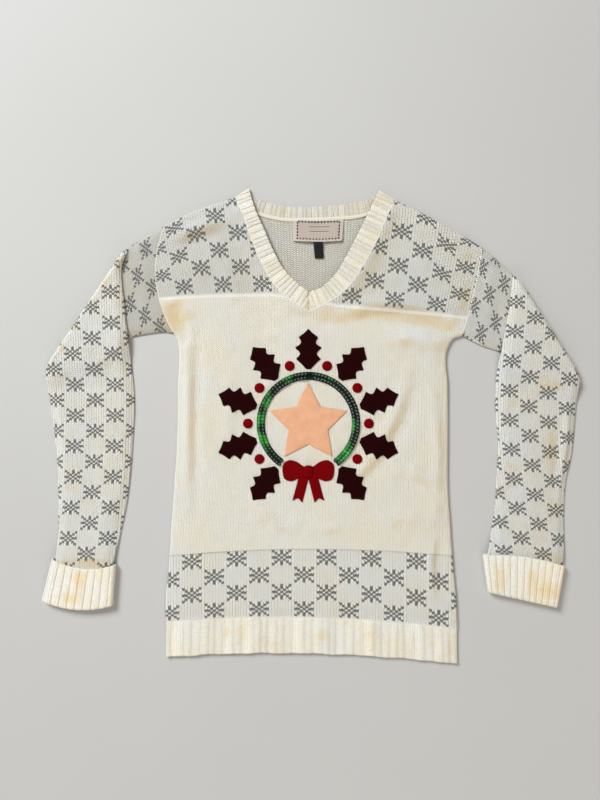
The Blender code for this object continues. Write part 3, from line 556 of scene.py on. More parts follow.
class RibSettings(bpy.types.PropertyGroup):
    hem_pitch: length_setting("Hem pitch", "Width of a hem rib", 0.0129)
    cuff_pitch: length_setting("Cuff pitch", "Width of a cuff rib", 0.0104)
    collar_pitch: length_setting("Collar pitch", "Width of a collar rib", 0.0078)
    depth: length_setting("Depth", "Depth of the grooves", 0.0014)


class FeltSettings(bpy.types.PropertyGroup):
    thickness: length_setting("Thickness", "Thickness of the felt", 0.0013)
    brown: colour_setting("Leaf", "Colour of the leaves", (0.0095, 0.0009, 0.0011))
    peach: colour_setting("Star", "Colour of the star", (0.68, 0.35, 0.205))
    red: colour_setting("Bow", "Colour of bow and berries", (0.13, 0.0008, 0.0018))
    stitch: length_setting("Stitch", "Spacing of the edge stitches", 0.0024)


class SequinSettings(bpy.types.PropertyGroup):
    radius: length_setting("Radius", "Radius of a sequin", 0.0029)
    spacing: length_setting("Spacing", "Distance between sequins", 0.005)
    rows: IntProperty(name="Rows", description="Strings of sequins side by side", default=2)
    foil: colour_setting("Dark green", "Colour of most sequins", (0.002, 0.01, 0.004))
    # Painted glint: brighter green painted on some sequins, standing in for the light they catch
    glint: colour_setting("Glint", "Colour of those that catch light", (0.03, 0.42, 0.045))
    seed: IntProperty(name="Seed", description="Seed of the sequins' tilt", default=7)


class LabelSettings(bpy.types.PropertyGroup):
    cloth: colour_setting("Label", "Colour of the label", (0.495, 0.415, 0.363))
    thread: colour_setting("Thread", "Colour of border and rules", (0.018, 0.018, 0.022))
    lift: length_setting("Lift", "How far the lower edge curls up", 0.003)


class StageSettings(bpy.types.PropertyGroup):
    camera_height: length_setting("Camera height", "Height of the lens above the floor", 0.9)
    view_width: length_setting("View width", "Width of floor in the picture", 0.9)
    aim_x: length_setting("Aim X", "Point under the lens", -0.0165)
    aim_y: length_setting("Aim Y", "Point under the lens", 0.039)
    key: FloatProperty(name="Key light", description="Power of the main light", default=171.0, unit="POWER")
    fill: FloatProperty(name="Fill light", description="Strength of the surrounding light", default=0.26)
    floor: colour_setting("Floor", "Colour of the floor", (0.5, 0.495, 0.485))


SETTINGS = {
    "sweater_knit": KnitSettings,
    "sweater_rib": RibSettings,
    "sweater_felt": FeltSettings,
    "sweater_sequin": SequinSettings,
    "sweater_label": LabelSettings,
    "sweater_stage": StageSettings,
}


# --- Lines and outlines ---


def ease(value):
    """A soft step from 0 to 1."""
    clipped = np.clip(value, 0.0, 1.0)
    return clipped * clipped * (3.0 - 2.0 * clipped)


def lengths(line):
    """Distance along a chain of points at each of them."""
    return np.concatenate([[0.0], np.cumsum(np.linalg.norm(np.diff(line, axis=0), axis=1))])


def unit(vector):
    """A vector made one long."""
    return vector / np.linalg.norm(vector)


def square_to(run, towards):
    """The unit vector square to a run, on the side that faces towards a direction."""
    side = unit(np.array([-run[1], run[0]]))
    return side if side @ towards > 0 else -side


def compass(degrees):
    """Unit vectors at angles from +X."""
    angles = np.radians(degrees)
    return np.column_stack([np.cos(angles), np.sin(angles)])


def ringed(outline):
    """An outline that ends where it starts."""
    return np.vstack([outline, outline[:1]])


def signed_area(outline):
    """Area of an outline, positive when it runs anticlockwise."""
    after = np.roll(outline, -1, axis=0)
    return np.sum(outline[:, 0] * after[:, 1] - after[:, 0] * outline[:, 1]) / 2


def anticlockwise(outline):
    """An outline turned, if need be, to run anticlockwise."""
    return outline if signed_area(outline) > 0 else outline[::-1]


def spline(rows, at):
    """Rows read off a smooth curve through the given rows, at places counted in rows."""
    known = np.array(rows, dtype=float).reshape(len(rows), -1)
    reach = np.maximum(np.linalg.norm(np.diff(known, axis=0), axis=1), 1e-9)[:, None]
    slopes = np.diff(known, axis=0) / reach
    middle = (slopes[:-1] * reach[1:] + slopes[1:] * reach[:-1]) / (reach[1:] + reach[:-1])
    slopes = np.vstack([slopes[:1], middle, slopes[-1:]])
    at = np.asarray(at, dtype=float)
    k = np.clip(at.astype(int), 0, len(known) - 2)
    t = (at - k)[:, None]
    gap = reach[k]
    return (
        known[k] * (1 + 2 * t) * (1 - t) ** 2
        + known[k + 1] * t**2 * (3 - 2 * t)
        + gap * slopes[k] * t * (1 - t) ** 2
        - gap * slopes[k + 1] * t**2 * (1 - t)
    )


def smooth(rows, step):
    """Rows about a step apart on a smooth curve through the given rows."""
    reach = lengths(np.array(rows, dtype=float))
    count = max(2, round(reach[-1] / step))
    wanted = np.linspace(0.0, reach[-1], count + 1)
    return spline(rows, np.interp(wanted, reach, np.arange(len(reach))))


def spread(line, count):
    """Points a number of even steps apart along a chain of straight runs."""
    reach = lengths(line)
    wanted = np.linspace(0.0, reach[-1], count + 1)
    return np.column_stack([np.interp(wanted, reach, column) for column in line.T])


def even(line, step, closed=False):
    """Points about a step apart along a chain of straight runs."""
    line = np.array(line, dtype=float)
    line = ringed(line) if closed else line
    found = spread(line, max(2, round(lengths(line)[-1] / step)))
    return found[:-1] if closed else found


def distance_to(line, x, y):
    """Distance from each place to a chain of points, and how far along the chain it is, 0 to 1."""
    nearest = np.full(np.shape(x), np.inf)
    along = np.zeros(np.shape(x))
    last = len(line) - 1
    for k in range(last):
        start, run = line[k], line[k + 1] - line[k]
        t = ((x - start[0]) * run[0] + (y - start[1]) * run[1]) / max(run @ run, 1e-12)
        t = np.clip(t, 0.0, 1.0)
        gap = np.hypot(x - start[0] - t * run[0], y - start[1] - t * run[1])
        closer = gap < nearest
        nearest = np.where(closer, gap, nearest)
        along = np.where(closer, (k + t) / last, along)
    return nearest, along


def gap_to(lines, x, y):
    """Distance from each place to the nearest of several chains of points."""
    return np.min([distance_to(line, x, y)[0] for line in lines], axis=0)


def drawn_in(outline, inset, share):
    """An anticlockwise outline moved in, without points that come nearer to it than a share of that."""
    run = np.roll(outline, -1, axis=0) - np.roll(outline, 1, axis=0)
    inward = np.column_stack([-run[:, 1], run[:, 0]]) / np.linalg.norm(run, axis=1)[:, None]
    moved = outline + inward * inset
    return moved[gap_to([ringed(outline)], *moved.T) > share * inset]


def course_y(course, x):
    """Height of a bowed row of knitting at x."""
    side = x / HALF_CHEST
    return course.centre + course.tilt * side + course.drop * side**2


def course_line(course, step):
    """A row of knitting from the left side edge to the right one."""
    xs = np.linspace(HEM_LEFT, HEM_RIGHT, round((HEM_RIGHT - HEM_LEFT) / step) + 1)
    return np.column_stack([xs, course_y(course, xs)])


def armhole_line(armhole, count=60, outward=0.0):
    """The armhole seam from shoulder to underarm, bowed sideways, and moved sideways by outward."""
    s = np.linspace(0.0, 1.0, count + 1)
    x = armhole.top_x + (armhole.bottom_x - armhole.top_x) * s + armhole.bow * 4 * s * (1 - s) + outward
    return np.column_stack([x, armhole.top_y + (armhole.bottom_y - armhole.top_y) * s])


def side_line(side, armhole):
    """A side edge of the torso, from the top of the hem up to the underarm."""
    corner_x = HEM_LEFT if side == "left" else HEM_RIGHT
    rows = [[corner_x, course_y(HEM_TOP, corner_x)]]
    rows += [[getattr(row, side), row.y] for row in TORSO]
    rows.append([armhole.bottom_x, armhole.bottom_y])
    return smooth(rows, 0.004)


def shoulder_line(neck, shoulder, armhole):
    """A shoulder edge, from the neck to the top of the armhole."""
    rows = [[neck.seam_x, neck.seam_y], *shoulder, [armhole.top_x, armhole.top_y]]
    return smooth(rows, 0.004)


def fold_out(row):
    """The way out across the fold at a shoulder, square to the edge that shows there."""
    return square_to(np.subtract(row[2:], row[:2]), (0.0, 1.0))


def band_rows(rows, folded, step=0.003):
    """Sections of the collar band a step apart; towards folded ends they draw in to the hinge."""
    found = smooth(rows, step)
    fade = np.clip(1.0 - np.arange(len(found)) * step / FOLD_FADE, 0.0, 1.0)[:, None]
    for end in folded:
        inset = fold_out(found[end]) * HALF_TUBE
        found = found - np.tile(inset, 2) * (fade if end == 0 else fade[::-1])
    return found


@functools.cache
def front_neck():
    """The front neck line, from the right shoulder down to the V and up to the left shoulder."""
    right = band_rows(COLLAR_RIGHT, (0,))[:, :2]
    left = band_rows(COLLAR_LEFT, (0,))[:, :2]
    return np.vstack([right[:-1], left[::-1]])


@functools.cache
def back_neck():
    """The back neck line, from the right shoulder to the left one."""
    return band_rows(COLLAR_BACK, (0, -1))[::-1, :2]


@functools.cache
def rolled_edges():
    """The edges where the cloth of front and back turns round into one another."""
    return [
        side_line("left", LEFT_ARMHOLE),
        side_line("right", RIGHT_ARMHOLE),
        shoulder_line(COLLAR_LEFT[0], LEFT_SHOULDER, LEFT_ARMHOLE),
        shoulder_line(COLLAR_RIGHT[0], RIGHT_SHOULDER, RIGHT_ARMHOLE),
    ]


@functools.cache
def sewn_edges():
    """The edges along which sleeves and hem rib are sewn on."""
    return [armhole_line(LEFT_ARMHOLE), armhole_line(RIGHT_ARMHOLE), course_line(HEM_TOP, 0.02)]


def torso_outline(neck):
    """The outline of a panel, anticlockwise from the left end of its hem, round the given neck line."""
    left_side, right_side, left_shoulder, right_shoulder = rolled_edges()
    return np.vstack(
        [
            course_line(HEM_TOP, 0.003)[:-1],
            right_side[:-1],
            armhole_line(RIGHT_ARMHOLE)[:0:-1],
            right_shoulder[::-1],
            neck[1:-1],
            left_shoulder[:-1],
            armhole_line(LEFT_ARMHOLE)[:-1],
            left_side[:0:-1],
        ]
    )


def inside_outline(outline, x, y):
    """Whether each place lies inside a closed outline."""
    result = np.zeros(np.shape(x), dtype=bool)
    for (x0, y0), (x1, y1) in zip(outline, np.roll(outline, -1, axis=0)):
        crosses = (y0 > y) != (y1 > y)
        reach = x0 + (x1 - x0) * (y - y0) / (y1 - y0 if y1 != y0 else 1.0)
        result ^= crosses & (x < reach)
    return result


# --- Heights of the cloth ---


def ridges(creases, x, y):
    """Height of soft ridges and troughs, each fading out towards both of its ends."""
    t = np.linspace(0.0, 1.0, 13)[:, None]
    total = np.zeros(np.shape(x))
    for crease in creases:
        start, bend, end = np.array(crease[:6]).reshape(3, 2)
        line = start * (1 - t) ** 2 + bend * 2 * t * (1 - t) + end * t**2
        gap, along = distance_to(line, x, y)
        total += crease.height * np.sin(np.pi * along) * np.exp(-((gap / crease.width) ** 2))
    return total


def unevenness(x, y):
    """Soft waves all over the cloth."""
    height = bpy.context.scene.sweater_knit.uneven
    waves = [np.sin(2 * np.pi * (a * x + b * y) + phase) for a, b, phase in UNEVEN_WAVES]
    return height * sum(waves) / 2


def front_mid(x, y):
    """Height of the front's middle surface."""
    x, y = np.asarray(x, dtype=float), np.asarray(y, dtype=float)
    edge_gap = gap_to([line[::3] for line in rolled_edges() + sewn_edges()], x, y)
    inside, off_edge = ease(edge_gap / EDGE_FADE), ease(edge_gap / FOLD_FADE)
    from_art = np.hypot(x - ART_CENTRE[0], y - ART_CENTRE[1]) - ART_RADIUS
    off_art = ease(from_art / EDGE_FADE)
    lift = NECK_LIFT * ease(1.0 - gap_to([front_neck()[::2]], x, y) / NECK_REACH)
    folds = off_art * ridges(CREASES, x, y) + ridges(DRAGS, x, y) + unevenness(x, y)
    return FRONT_MID + inside * (BODY_LOFT + off_art * lift) + off_edge * np.maximum(folds, -0.9 * BODY_LOFT)


def front_top(x, y):
    """Height of the front's upper surface, away from its edges."""
    return front_mid(x, y) + WALL / 2


def roll(gap, reach):
    """A quarter round: 1 at an edge, 0 from reach inwards."""
    t = np.clip(gap / reach, 0.0, 1.0)
    return 1.0 - np.sqrt(1.0 - (1.0 - t) ** 2)


def rounded(gap, reach):
    """How far a rounded edge has risen at a distance from it, 0 to 1."""
    return np.sqrt(np.clip(gap / reach, 0.0, 1.0))


def pressed(groove, gap):
    """Depth of a soft groove at a distance from the line that it follows."""
    return groove.depth * np.exp(-(((gap - groove.place) / groove.width) ** 2))


# --- Stitches and rows ---


def torso_stitches(x, y):
    """Stitch and row numbers of the torso's knitting at each place."""
    hem, band = course_y(HEM_TOP, x), course_y(BAND_TOP, x)
    knots = np.array(YOKE_LINE)
    yoke = np.interp(x, knots[:, 0], knots[:, 1])
    above = y - yoke
    squeeze = 1.0 - YOKE_SQUEEZE * ease((np.abs(x) - 0.165) / 0.065)
    in_band = BAND_ROWS * (y - hem) / (band - hem)
    in_middle = BAND_ROWS + (YOKE_ROW - BAND_ROWS) * (y - band) / (yoke - band)
    in_yoke = YOKE_ROW + above / (YOKE_ROW_HEIGHT * squeeze)
    row = np.where(y < band, in_band, np.where(y < yoke, in_middle, in_yoke))
    wales = np.array(YOKE_WALES)
    fanned = x / (1.0 + YOKE_FAN * np.maximum(above, 0.0))
    at_yoke = np.interp(fanned, wales[:, 0], wales[:, 1])
    at_band = FLAKE_REACH + 0.5 + (x - BAND_MOTIF_X) / BAND_STITCH
    up = np.clip((y - band) / (yoke - band), 0.0, 1.0)
    return np.column_stack([at_band + (at_yoke - at_band) * up, row])


def motif_stitches(motif, x, y):
    """Stitch and row numbers round one motif, straight steps each way."""
    steps = np.array([[motif.stitch_x, motif.row_x], [motif.stitch_y, motif.row_y]])
    numbers = np.linalg.solve(steps, np.vstack([x - motif.x, y - motif.y]))
    return numbers.T + FLAKE_REACH + 0.5


def column_stitches(motif, column, x, y):
    """Stitch and row numbers of a lower sleeve, whose motifs stand in a leaning column."""
    knots = smooth(column, 0.01)[::-1]
    lean = np.interp(y, knots[:, 0], knots[:, 1])
    return motif_stitches(motif, x - lean, y)


# --- Meshes ---


def with_z(flat, z):
    """Flat points given heights."""
    return np.column_stack([flat, np.broadcast_to(z, len(flat))])


def new_piece(name, points, faces, uv=None, attributes=None):
    """An object of faces, shaded smooth, with a stitch map for each corner and values for each point."""
    mesh = bpy.data.meshes.new(name)
    mesh.from_pydata([tuple(p) for p in points], [], faces)
    mesh.validate()
    mesh.update()
    mesh.shade_smooth()
    if uv is not None:
        corner = np.zeros(len(mesh.loops), dtype=np.int32)
        mesh.loops.foreach_get("vertex_index", corner)
        per_corner = uv[corner] if len(uv) == len(points) else uv
        layer = mesh.uv_layers.new(name="stitches")
        layer.uv.foreach_set("vector", per_corner.astype(np.float32).ravel())
    for key, values in (attributes or {}).items():
        layer = mesh.attributes.new(key, "FLOAT", "POINT")
        layer.data.foreach_set("value", np.asarray(values, dtype=np.float32))
    obj = bpy.data.objects.new(name, mesh)
    bpy.context.scene.collection.objects.link(obj)
    return obj


def grid_faces(rows, columns):
    """Faces of a grid that closes on itself both ways."""
    a = np.arange(rows * columns).reshape(rows, columns)
    b = np.roll(a, -1, axis=1)
    c = np.roll(b, -1, axis=0)
    d = np.roll(a, -1, axis=0)
    return np.stack([a, b, c, d], axis=-1).reshape(-1, 4)


def outward(points, faces):
    """The faces of a closed skin, turned so that they point outwards."""
    corner = points[faces]
    cross = np.cross(corner[:, 2] - corner[:, 0], corner[:, 3] - corner[:, 1])
    volume = np.einsum("ij,ij->", corner.mean(axis=1), cross)
    return faces[:, ::-1] if volume < 0 else faces


def grid_piece(name, grid, stitch, row, attributes):
    """A closed skin over a grid of points, with its stitch and row numbers and its stored values."""
    points = grid.reshape(-1, 3)
    faces = outward(points, grid_faces(*grid.shape[:2]))
    uv = np.stack(np.broadcast_arrays(stitch, row), axis=-1).reshape(-1, 2)
    flat = {key: np.broadcast_to(value, grid.shape[:2]).ravel() for key, value in attributes.items()}
    return new_piece(name, points, faces.tolist(), uv, flat)


def cloth_sheet(outline, step, rims):
    """A triangulated sheet inside an anticlockwise outline, with rings of points close to its edge."""
    low, high = outline.min(axis=0), outline.max(axis=0)
    grid = []
    for number, y in enumerate(np.arange(low[1], high[1], step * math.sqrt(0.75))):
        shift = step / 2 if number % 2 else 0.0
        grid += [(x, y) for x in np.arange(low[0] + shift, high[0], step)]
    grid = np.array(grid)
    kept = [grid[gap_to([ringed(outline)], *grid.T) > max(rims) + 0.55 * step]]
    kept += [drawn_in(outline, rim, 0.93) for rim in rims]
    inner = np.vstack(kept)
    inner = inner[inside_outline(outline, *inner.T)]
    points = [Vector(p) for p in np.vstack([outline, inner])]
    count = len(outline)
    border = [(k, (k + 1) % count) for k in range(count)]
    flat, _, faces, _, _, _ = delaunay_2d_cdt(points, border, [list(range(count))], 1, 1e-6)
    return np.array([tuple(p) for p in flat]), np.array(faces)


def sheet_piece(name, flat, faces, low, high, uv=None, attributes=None):
    """A closed piece between a lower and an upper height over a flat sheet of triangles."""
    count = len(flat)
    points = np.vstack([np.column_stack([flat, low]), np.column_stack([flat, high])])
    edges = np.vstack([faces[:, [0, 1]], faces[:, [1, 2]], faces[:, [2, 0]]])
    keys = set(map(tuple, edges.tolist()))
    rim = [(a, b) for a, b in edges.tolist() if (b, a) not in keys]
    walls = [(a, b, b + count, a + count) for a, b in rim]
    every = faces[:, ::-1].tolist() + (faces + count).tolist() + walls
    both = None if uv is None else np.vstack([uv, uv])
    return new_piece(name, points, every, both, attributes)


def read(items, key):
    """Three numbers for each point or face of a mesh."""
    values = np.zeros(len(items) * 3)
    items.foreach_get(key, values)
    return values.reshape(-1, 3)


def store_painted_light(obj, share=1.0):
    """Store the painted light: how far each face leans to the lower right, away from the key light, times a
    share, plus the painted shade of the hollows, a cool painted highlight where it is below zero.
    """
    normals = read(obj.data.vertices, "normal")
    x, y, _ = read(obj.data.vertices, "co").T
    tilt = normals @ AWAY_FROM_KEY_LIGHT
    tilt = share * tilt * (1.0 - ease((np.abs(tilt) - STEEP) / STEEP_FADE))
    for hollow in HOLLOWS:
        away = ((x - hollow.x) / hollow.reach_x) ** 2 + ((y - hollow.y) / hollow.reach_y) ** 2
        tilt += hollow.warmth * np.exp(-away)
    tilt = np.where(normals[:, 2] > 0.3, tilt, 0.0)
    layer = obj.data.attributes.new("tilt", "FLOAT", "POINT")
    layer.data.foreach_set("value", tilt.astype(np.float32))


def finish_piece(obj, nodes=(), materials=()):
    """Give a finished piece its materials, hang it on the frame's root body and hide the frame's parts that
    it takes the place of.
    """
    for material in materials:
        obj.data.materials.append(material)
    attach(obj, "root")
    if nodes:
        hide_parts(*nodes)


def apply_modifiers(obj):
    """Turn what the modifiers make into the object's own plain mesh."""
    evaluated = obj.evaluated_get(bpy.context.evaluated_depsgraph_get())
    mesh = bpy.data.meshes.new_from_object(evaluated)
    mesh.name = obj.name
    for modifier in list(obj.modifiers):
        obj.modifiers.remove(modifier)
    obj.data = mesh


# --- Node trees ---


class Signal:
    """A number inside a node tree; each operation on it adds a Math node."""

    def __init__(self, tree, socket):
        self.tree = tree
        self.socket = socket

    def math(self, operation, *others):
        node = self.tree.node("ShaderNodeMath", {"operation": operation}, dict(enumerate((self, *others))))
        return Signal(self.tree, node.outputs[0])

    def __add__(self, other):
        return self.math("ADD", other)

    def __sub__(self, other):
        return self.math("SUBTRACT", other)

    def __rsub__(self, other):
        return self.math("MULTIPLY_ADD", -1.0, other)

    def __mul__(self, other):
        return self.math("MULTIPLY", other)

    def __truediv__(self, other):
        return self.math("DIVIDE", other)

    def __pow__(self, other):
        return self.math("POWER", other)

    def __mod__(self, other):
        return self.math("FLOORED_MODULO", other)

    def __abs__(self):
        return self.math("ABSOLUTE")

    def __lt__(self, other):
        return self.math("LESS_THAN", other)

    def __gt__(self, other):
        return self.math("GREATER_THAN", other)

    def floor(self):
        return self.math("FLOOR")

    def fract(self):
        return self.math("FRACT")

    def sin(self):
        return self.math("SINE")

    def low(self, other):
        return self.math("MINIMUM", other)

    def high(self, other):
        return self.math("MAXIMUM", other)

    def clamped(self):
        return self.high(0.0).low(1.0)

    __radd__ = __add__
    __rmul__ = __mul__


class Tree:
    """A shader or geometry node tree whose nodes all come from one method."""

    def __init__(self, tree):
        self.tree = tree

    def node(self, kind, settings=None, inputs=None):
        made = self.tree.nodes.new(kind)
        for key, value in (settings or {}).items():
            setattr(made, key, value)
        for key, value in (inputs or {}).items():
            socket = made.inputs[key]
            if isinstance(value, Signal):
                self.tree.links.new(value.socket, socket)
            elif isinstance(value, bpy.types.NodeSocket):
                self.tree.links.new(value, socket)
            else:
                socket.default_value = value
        return made

    def output(self, kind, settings=None, inputs=None, key=0):
        """One output of a new node."""
        return self.node(kind, settings, inputs).outputs[key]

    def signal(self, socket):
        return Signal(self, socket)

    def vector(self, x=0.0, y=0.0, z=0.0):
        """Three numbers as a vector."""
        return self.output("ShaderNodeCombineXYZ", None, {0: x, 1: y, 2: z})

    def apart(self, vector):
        """The first two numbers of a vector."""
        outputs = self.node("ShaderNodeSeparateXYZ", None, {0: vector}).outputs
        return self.signal(outputs[0]), self.signal(outputs[1])

    def mix(self, factor, first, second, blend="MIX"):
        """One colour turning into another."""
        settings = {"data_type": "RGBA", "blend_type": blend}
        return self.output("ShaderNodeMix", settings, {0: factor, 6: opaque(first), 7: opaque(second)}, 2)

    def times(self, first, second):
        """Two colours multiplied."""
        return self.mix(1.0, first, second, "MULTIPLY")

    def noise(self, scale, detail=2.0):
        """Noise from 0 to 1."""
        place = self.output("ShaderNodeTexCoord", key="Object")
        sockets = {"Vector": place, "Scale": scale, "Detail": detail}
        return self.signal(self.output("ShaderNodeTexNoise", None, sockets))

    def grain(self, scale, detail=2.0):
        """Noise about 0."""
        return self.noise(scale, detail) - 0.5

    def named(self, name):
        """A value stored on the points, inside a geometry tree."""
        settings = {"data_type": "FLOAT"}
        return self.signal(self.output("GeometryNodeInputNamedAttribute", settings, {"Name": name}))

    def store(self, geometry, name, value, domain="POINT"):
        """A geometry with a value stored on it."""
        settings = {"data_type": "FLOAT", "domain": domain}
        sockets = {"Geometry": geometry, "Name": name, "Value": value}
        return self.output("GeometryNodeStoreNamedAttribute", settings, sockets)


def scaled(colour, factor):
    """A colour times one factor, or times one for each channel."""
    return tuple(np.multiply(colour, factor).tolist())


def opaque(colour):
    """A colour with its alpha, or the socket that gives one."""
    return colour if isinstance(colour, bpy.types.NodeSocket) else (*colour, 1.0)


class Finish(Tree):
    """A material with a Principled shader."""

    def __init__(self, name):
        self.material = bpy.data.materials.new(name)
        self.material.use_nodes = True
        super().__init__(self.material.node_tree)
        self.shader = self.tree.nodes["Principled BSDF"]

    def constants(self, **values):
        for key, value in values.items():
            self.input(key).default_value = value

    def feed(self, **sources):
        for key, source in sources.items():
            socket = source.socket if isinstance(source, Signal) else source
            self.tree.links.new(socket, self.input(key))

    def input(self, key):
        return self.shader.inputs[key.replace("_", " ").title().replace("Ior", "IOR")]

    def bump(self, height, distance):
        self.feed(normal=self.output("ShaderNodeBump", None, {"Height": height, "Distance": distance}))

    def stitch_map(self):
        """Stitch and row numbers from the piece's own map."""
        return self.apart(self.output("ShaderNodeUVMap", {"uv_map": "stitches"}))

    def stored(self, name):
        """A value stored on the piece's points."""
        return self.signal(self.output("ShaderNodeAttribute", {"attribute_name": name}, key="Fac"))


# --- Finishes ---


def snowflakes(stitch, row):
    """The chart: 1 on the grey stitches of snowflakes seven across, in a chequerboard of eights."""
    half = REPEAT // 2
    chequer = ((stitch / half).floor() + (row / half).floor()) % 2
    across = abs(stitch.floor() % half - FLAKE_REACH)
    down = abs(row.floor() % half - FLAKE_REACH)
    diagonal = abs(across - down) < 0.5
    arm = (across * down < 0.5) * (across.high(down) > 1.5)
    return (1 - chequer) * (across.high(down) < FLAKE_REACH + 0.5) * diagonal.high(arm)


def legs(stitch, row, slope=0.75):
    """Stocking stitch: the row number where each stitch leans as a V, and the roundness of its two legs."""
    part = stitch.fract()
    leaning = row - slope * abs(2 * part - 1)
    leg = abs((stitch * (2 * math.pi)).sin())
    plump = abs((leaning * math.pi).sin())
    wale = (part * math.pi).sin()
    height = (0.56 + 0.44 * leg**0.6) * (0.3 + 0.7 * plump**0.8) * (0.62 + 0.38 * wale**0.6)
    height = height - (1 - leg) ** 2 * (1 - plump) ** 2 * 0.5
    return leaning, height.high(0.0)


def yarn_colour(finish, base, height, depth):
    """Yarn that varies softly over the piece, with the painted light that the piece stores, and painted shade
    between the stitches.
    """
    patches = finish.grain(16.0, 3.0) * 2.4 + 0.5
    colour = finish.times(base, finish.mix(patches.clamped(), COOL_PATCH, WARM_PATCH))
    tilt = finish.stored("tilt")
    # Painted light: ochre and tan shade and cool highlight from the stored tilt, grey shade from the stored
    # painted shade
    painted_lights = (
        ((tilt * 4.6 - 0.22).clamped(), OCHRE_SHADE),
        ((tilt * 3.2 - 1.0).clamped(), TAN_SHADE),
        ((tilt * -4.6 - 0.22).clamped(), COOL_HIGHLIGHT),
        (finish.stored("dusk"), SHADE),
    )
    for share, painted_colour in painted_lights:
        colour = finish.times(colour, finish.mix(share, WHITE, painted_colour))
    # Painted shade between the stitches, where they sink, with random fibre grain on top
    fibre = finish.grain(900.0, 2.0) * 0.55 + finish.grain(430.0, 1.0) * 0.7
    hollow = ((1 - height) ** 1.3 * depth + fibre).clamped()
    return finish.mix(hollow, colour, finish.times(base, GAP_SHADE))


def knit_finish(name, plain):
    """Stocking stitch with snowflakes, in a band and a yoke where the middle is plain, or all over."""
    knit = bpy.context.scene.sweater_knit
    finish = Finish(name)
    stitch, row = finish.stitch_map()
    leaning, height = legs(stitch, row)
    spill = finish.grain(300.0, 1.0) * 0.5
    charted = snowflakes(stitch + spill * 0.2, leaning + 0.23 + spill)
    charted = charted.high(snowflakes(stitch, leaning - 0.16))
    zone = 1.0
    plain_share = 0.0
    if plain:
        zone = (leaning < BAND_ROWS + 0.1).high(leaning > YOKE_ROW + 0.3)
        plain_share = 1 - zone
        charted = charted * zone
    part = stitch.fract()
    hole = (abs(part - 0.5) > 0.31) * (1 - abs((leaning * math.pi).sin())) ** 1.4
    every_other = ((stitch + 0.5).floor() + (leaning + 0.5).floor()) % 2
    hole = hole * (0.25 + 0.75 * every_other)
    base = finish.mix(plain_share, knit.cool_cream, knit.cream) if plain else knit.cool_cream
    cream = yarn_colour(finish, base, height, 1.1 - plain_share * 0.28)
    if plain:
        top_row = (leaning > BAND_ROWS - 0.25) * (leaning < BAND_ROWS + 0.15)
        hole = hole.high(top_row * 0.45)
        joint = (leaning > YOKE_ROW - 1.2) * (leaning < YOKE_ROW + 0.3)
        cream = finish.mix(joint * 0.6, cream, knit.bright)
    peek = (hole * (finish.noise(130.0, 1.0) * 2.0 + 0.6)).low(1.0) * (0.25 + 0.75 * zone)
    # Grey yarn: random grain, and painted shade, darker where the stitches sink between their legs
    grey_grain_and_shade = finish.grain(380.0, 2.0) * 0.8 + (1 - height) * -0.5 + 0.45
    grey = finish.mix(grey_grain_and_shade.clamped(), knit.grey, scaled(knit.grey, 2.4))
    colour = finish.mix((charted * 0.95).high(peek * 0.9), cream, grey)
    finish.feed(base_color=colour)
    finish.bump(height + finish.noise(1300.0, 2.0) * 0.25, 0.0011)
    finish.constants(**YARN_SURFACE)
    return finish.material


def purl_finish(name):
    """The wrong side of two-colour knitting: rows of small bumps with grey strands between them."""
    knit = bpy.context.scene.sweater_knit
    finish = Finish(name)
    stitch, row = finish.stitch_map()
    wavy = row + 0.22 * (stitch * (2 * math.pi)).sin()
    bump = abs((wavy * math.pi).sin()) * (0.55 + 0.45 * abs((stitch * math.pi).sin()))
    strand = (wavy.fract() < 0.45) * ((finish.noise(300.0, 2.0) - 0.42) * 3.5).clamped()
    dots = (abs(stitch.fract() - 0.5) > 0.32) * (wavy.fract() > 0.55)
    cream = yarn_colour(finish, finish.times(knit.cream, (0.73, 0.73, 0.735)), bump, 0.75)
    colour = finish.mix((strand * 0.6).high(dots * 0.32), cream, finish.times(cream, (0.5, 0.5, 0.49)))
    finish.feed(base_color=colour)
    finish.bump(bump + finish.noise(1300.0, 2.0) * 0.3, 0.001)
    finish.constants(roughness=0.93, sheen_weight=0.18, sheen_roughness=0.6, specular_ior_level=0.15)
    return finish.material


def rib_finish(name, shade, colour):
    """Ribbed knitting: stitches along the ridges, painted shade in the grooves and ochre clouds, as strong as
    shade says.
    """
    finish = Finish(name)
    stitch, row = finish.stitch_map()
    height = legs(stitch, row)[1]
    groove = finish.stored("groove")
    cream = yarn_colour(finish, colour, height, 0.3)
    drift = finish.grain(55.0, 2.0) * 3.5
    for share, cloud in ((drift, (1.0, 0.92, 0.74)), (drift * -1.0, (0.98, 1.02, 1.1))):
        cream = finish.mix(share.clamped() * shade, cream, finish.times(cream, cloud))
    # Painted shade: the grooves between the ribs darkened as deep as they are sunk
    finish.feed(base_color=finish.mix(groove**1.5 * shade, cream, finish.times(cream, (0.6, 0.55, 0.46))))
    finish.bump(height + finish.noise(1300.0, 2.0) * 0.25, 0.001)
    finish.constants(**YARN_SURFACE)
    return finish.material


def felt_finish(name, colour, lighter, mottle):
    """Pressed felt: matted fibres, lighter where they stand up."""
    finish = Finish(name)
    fibres = finish.noise(1500.0, 3.0)
    clouds = finish.noise(90.0, 3.0)
    fuzz = ((fibres - 0.5) * 0.8 + (clouds - 0.5) * mottle + 0.35).clamped()
    finish.feed(base_color=finish.mix(fuzz, colour, lighter))
    finish.bump(fibres + finish.noise(420.0, 2.0) * 0.6, 0.0004)
    finish.constants(roughness=0.95, specular_ior_level=0.03)
    return finish.material


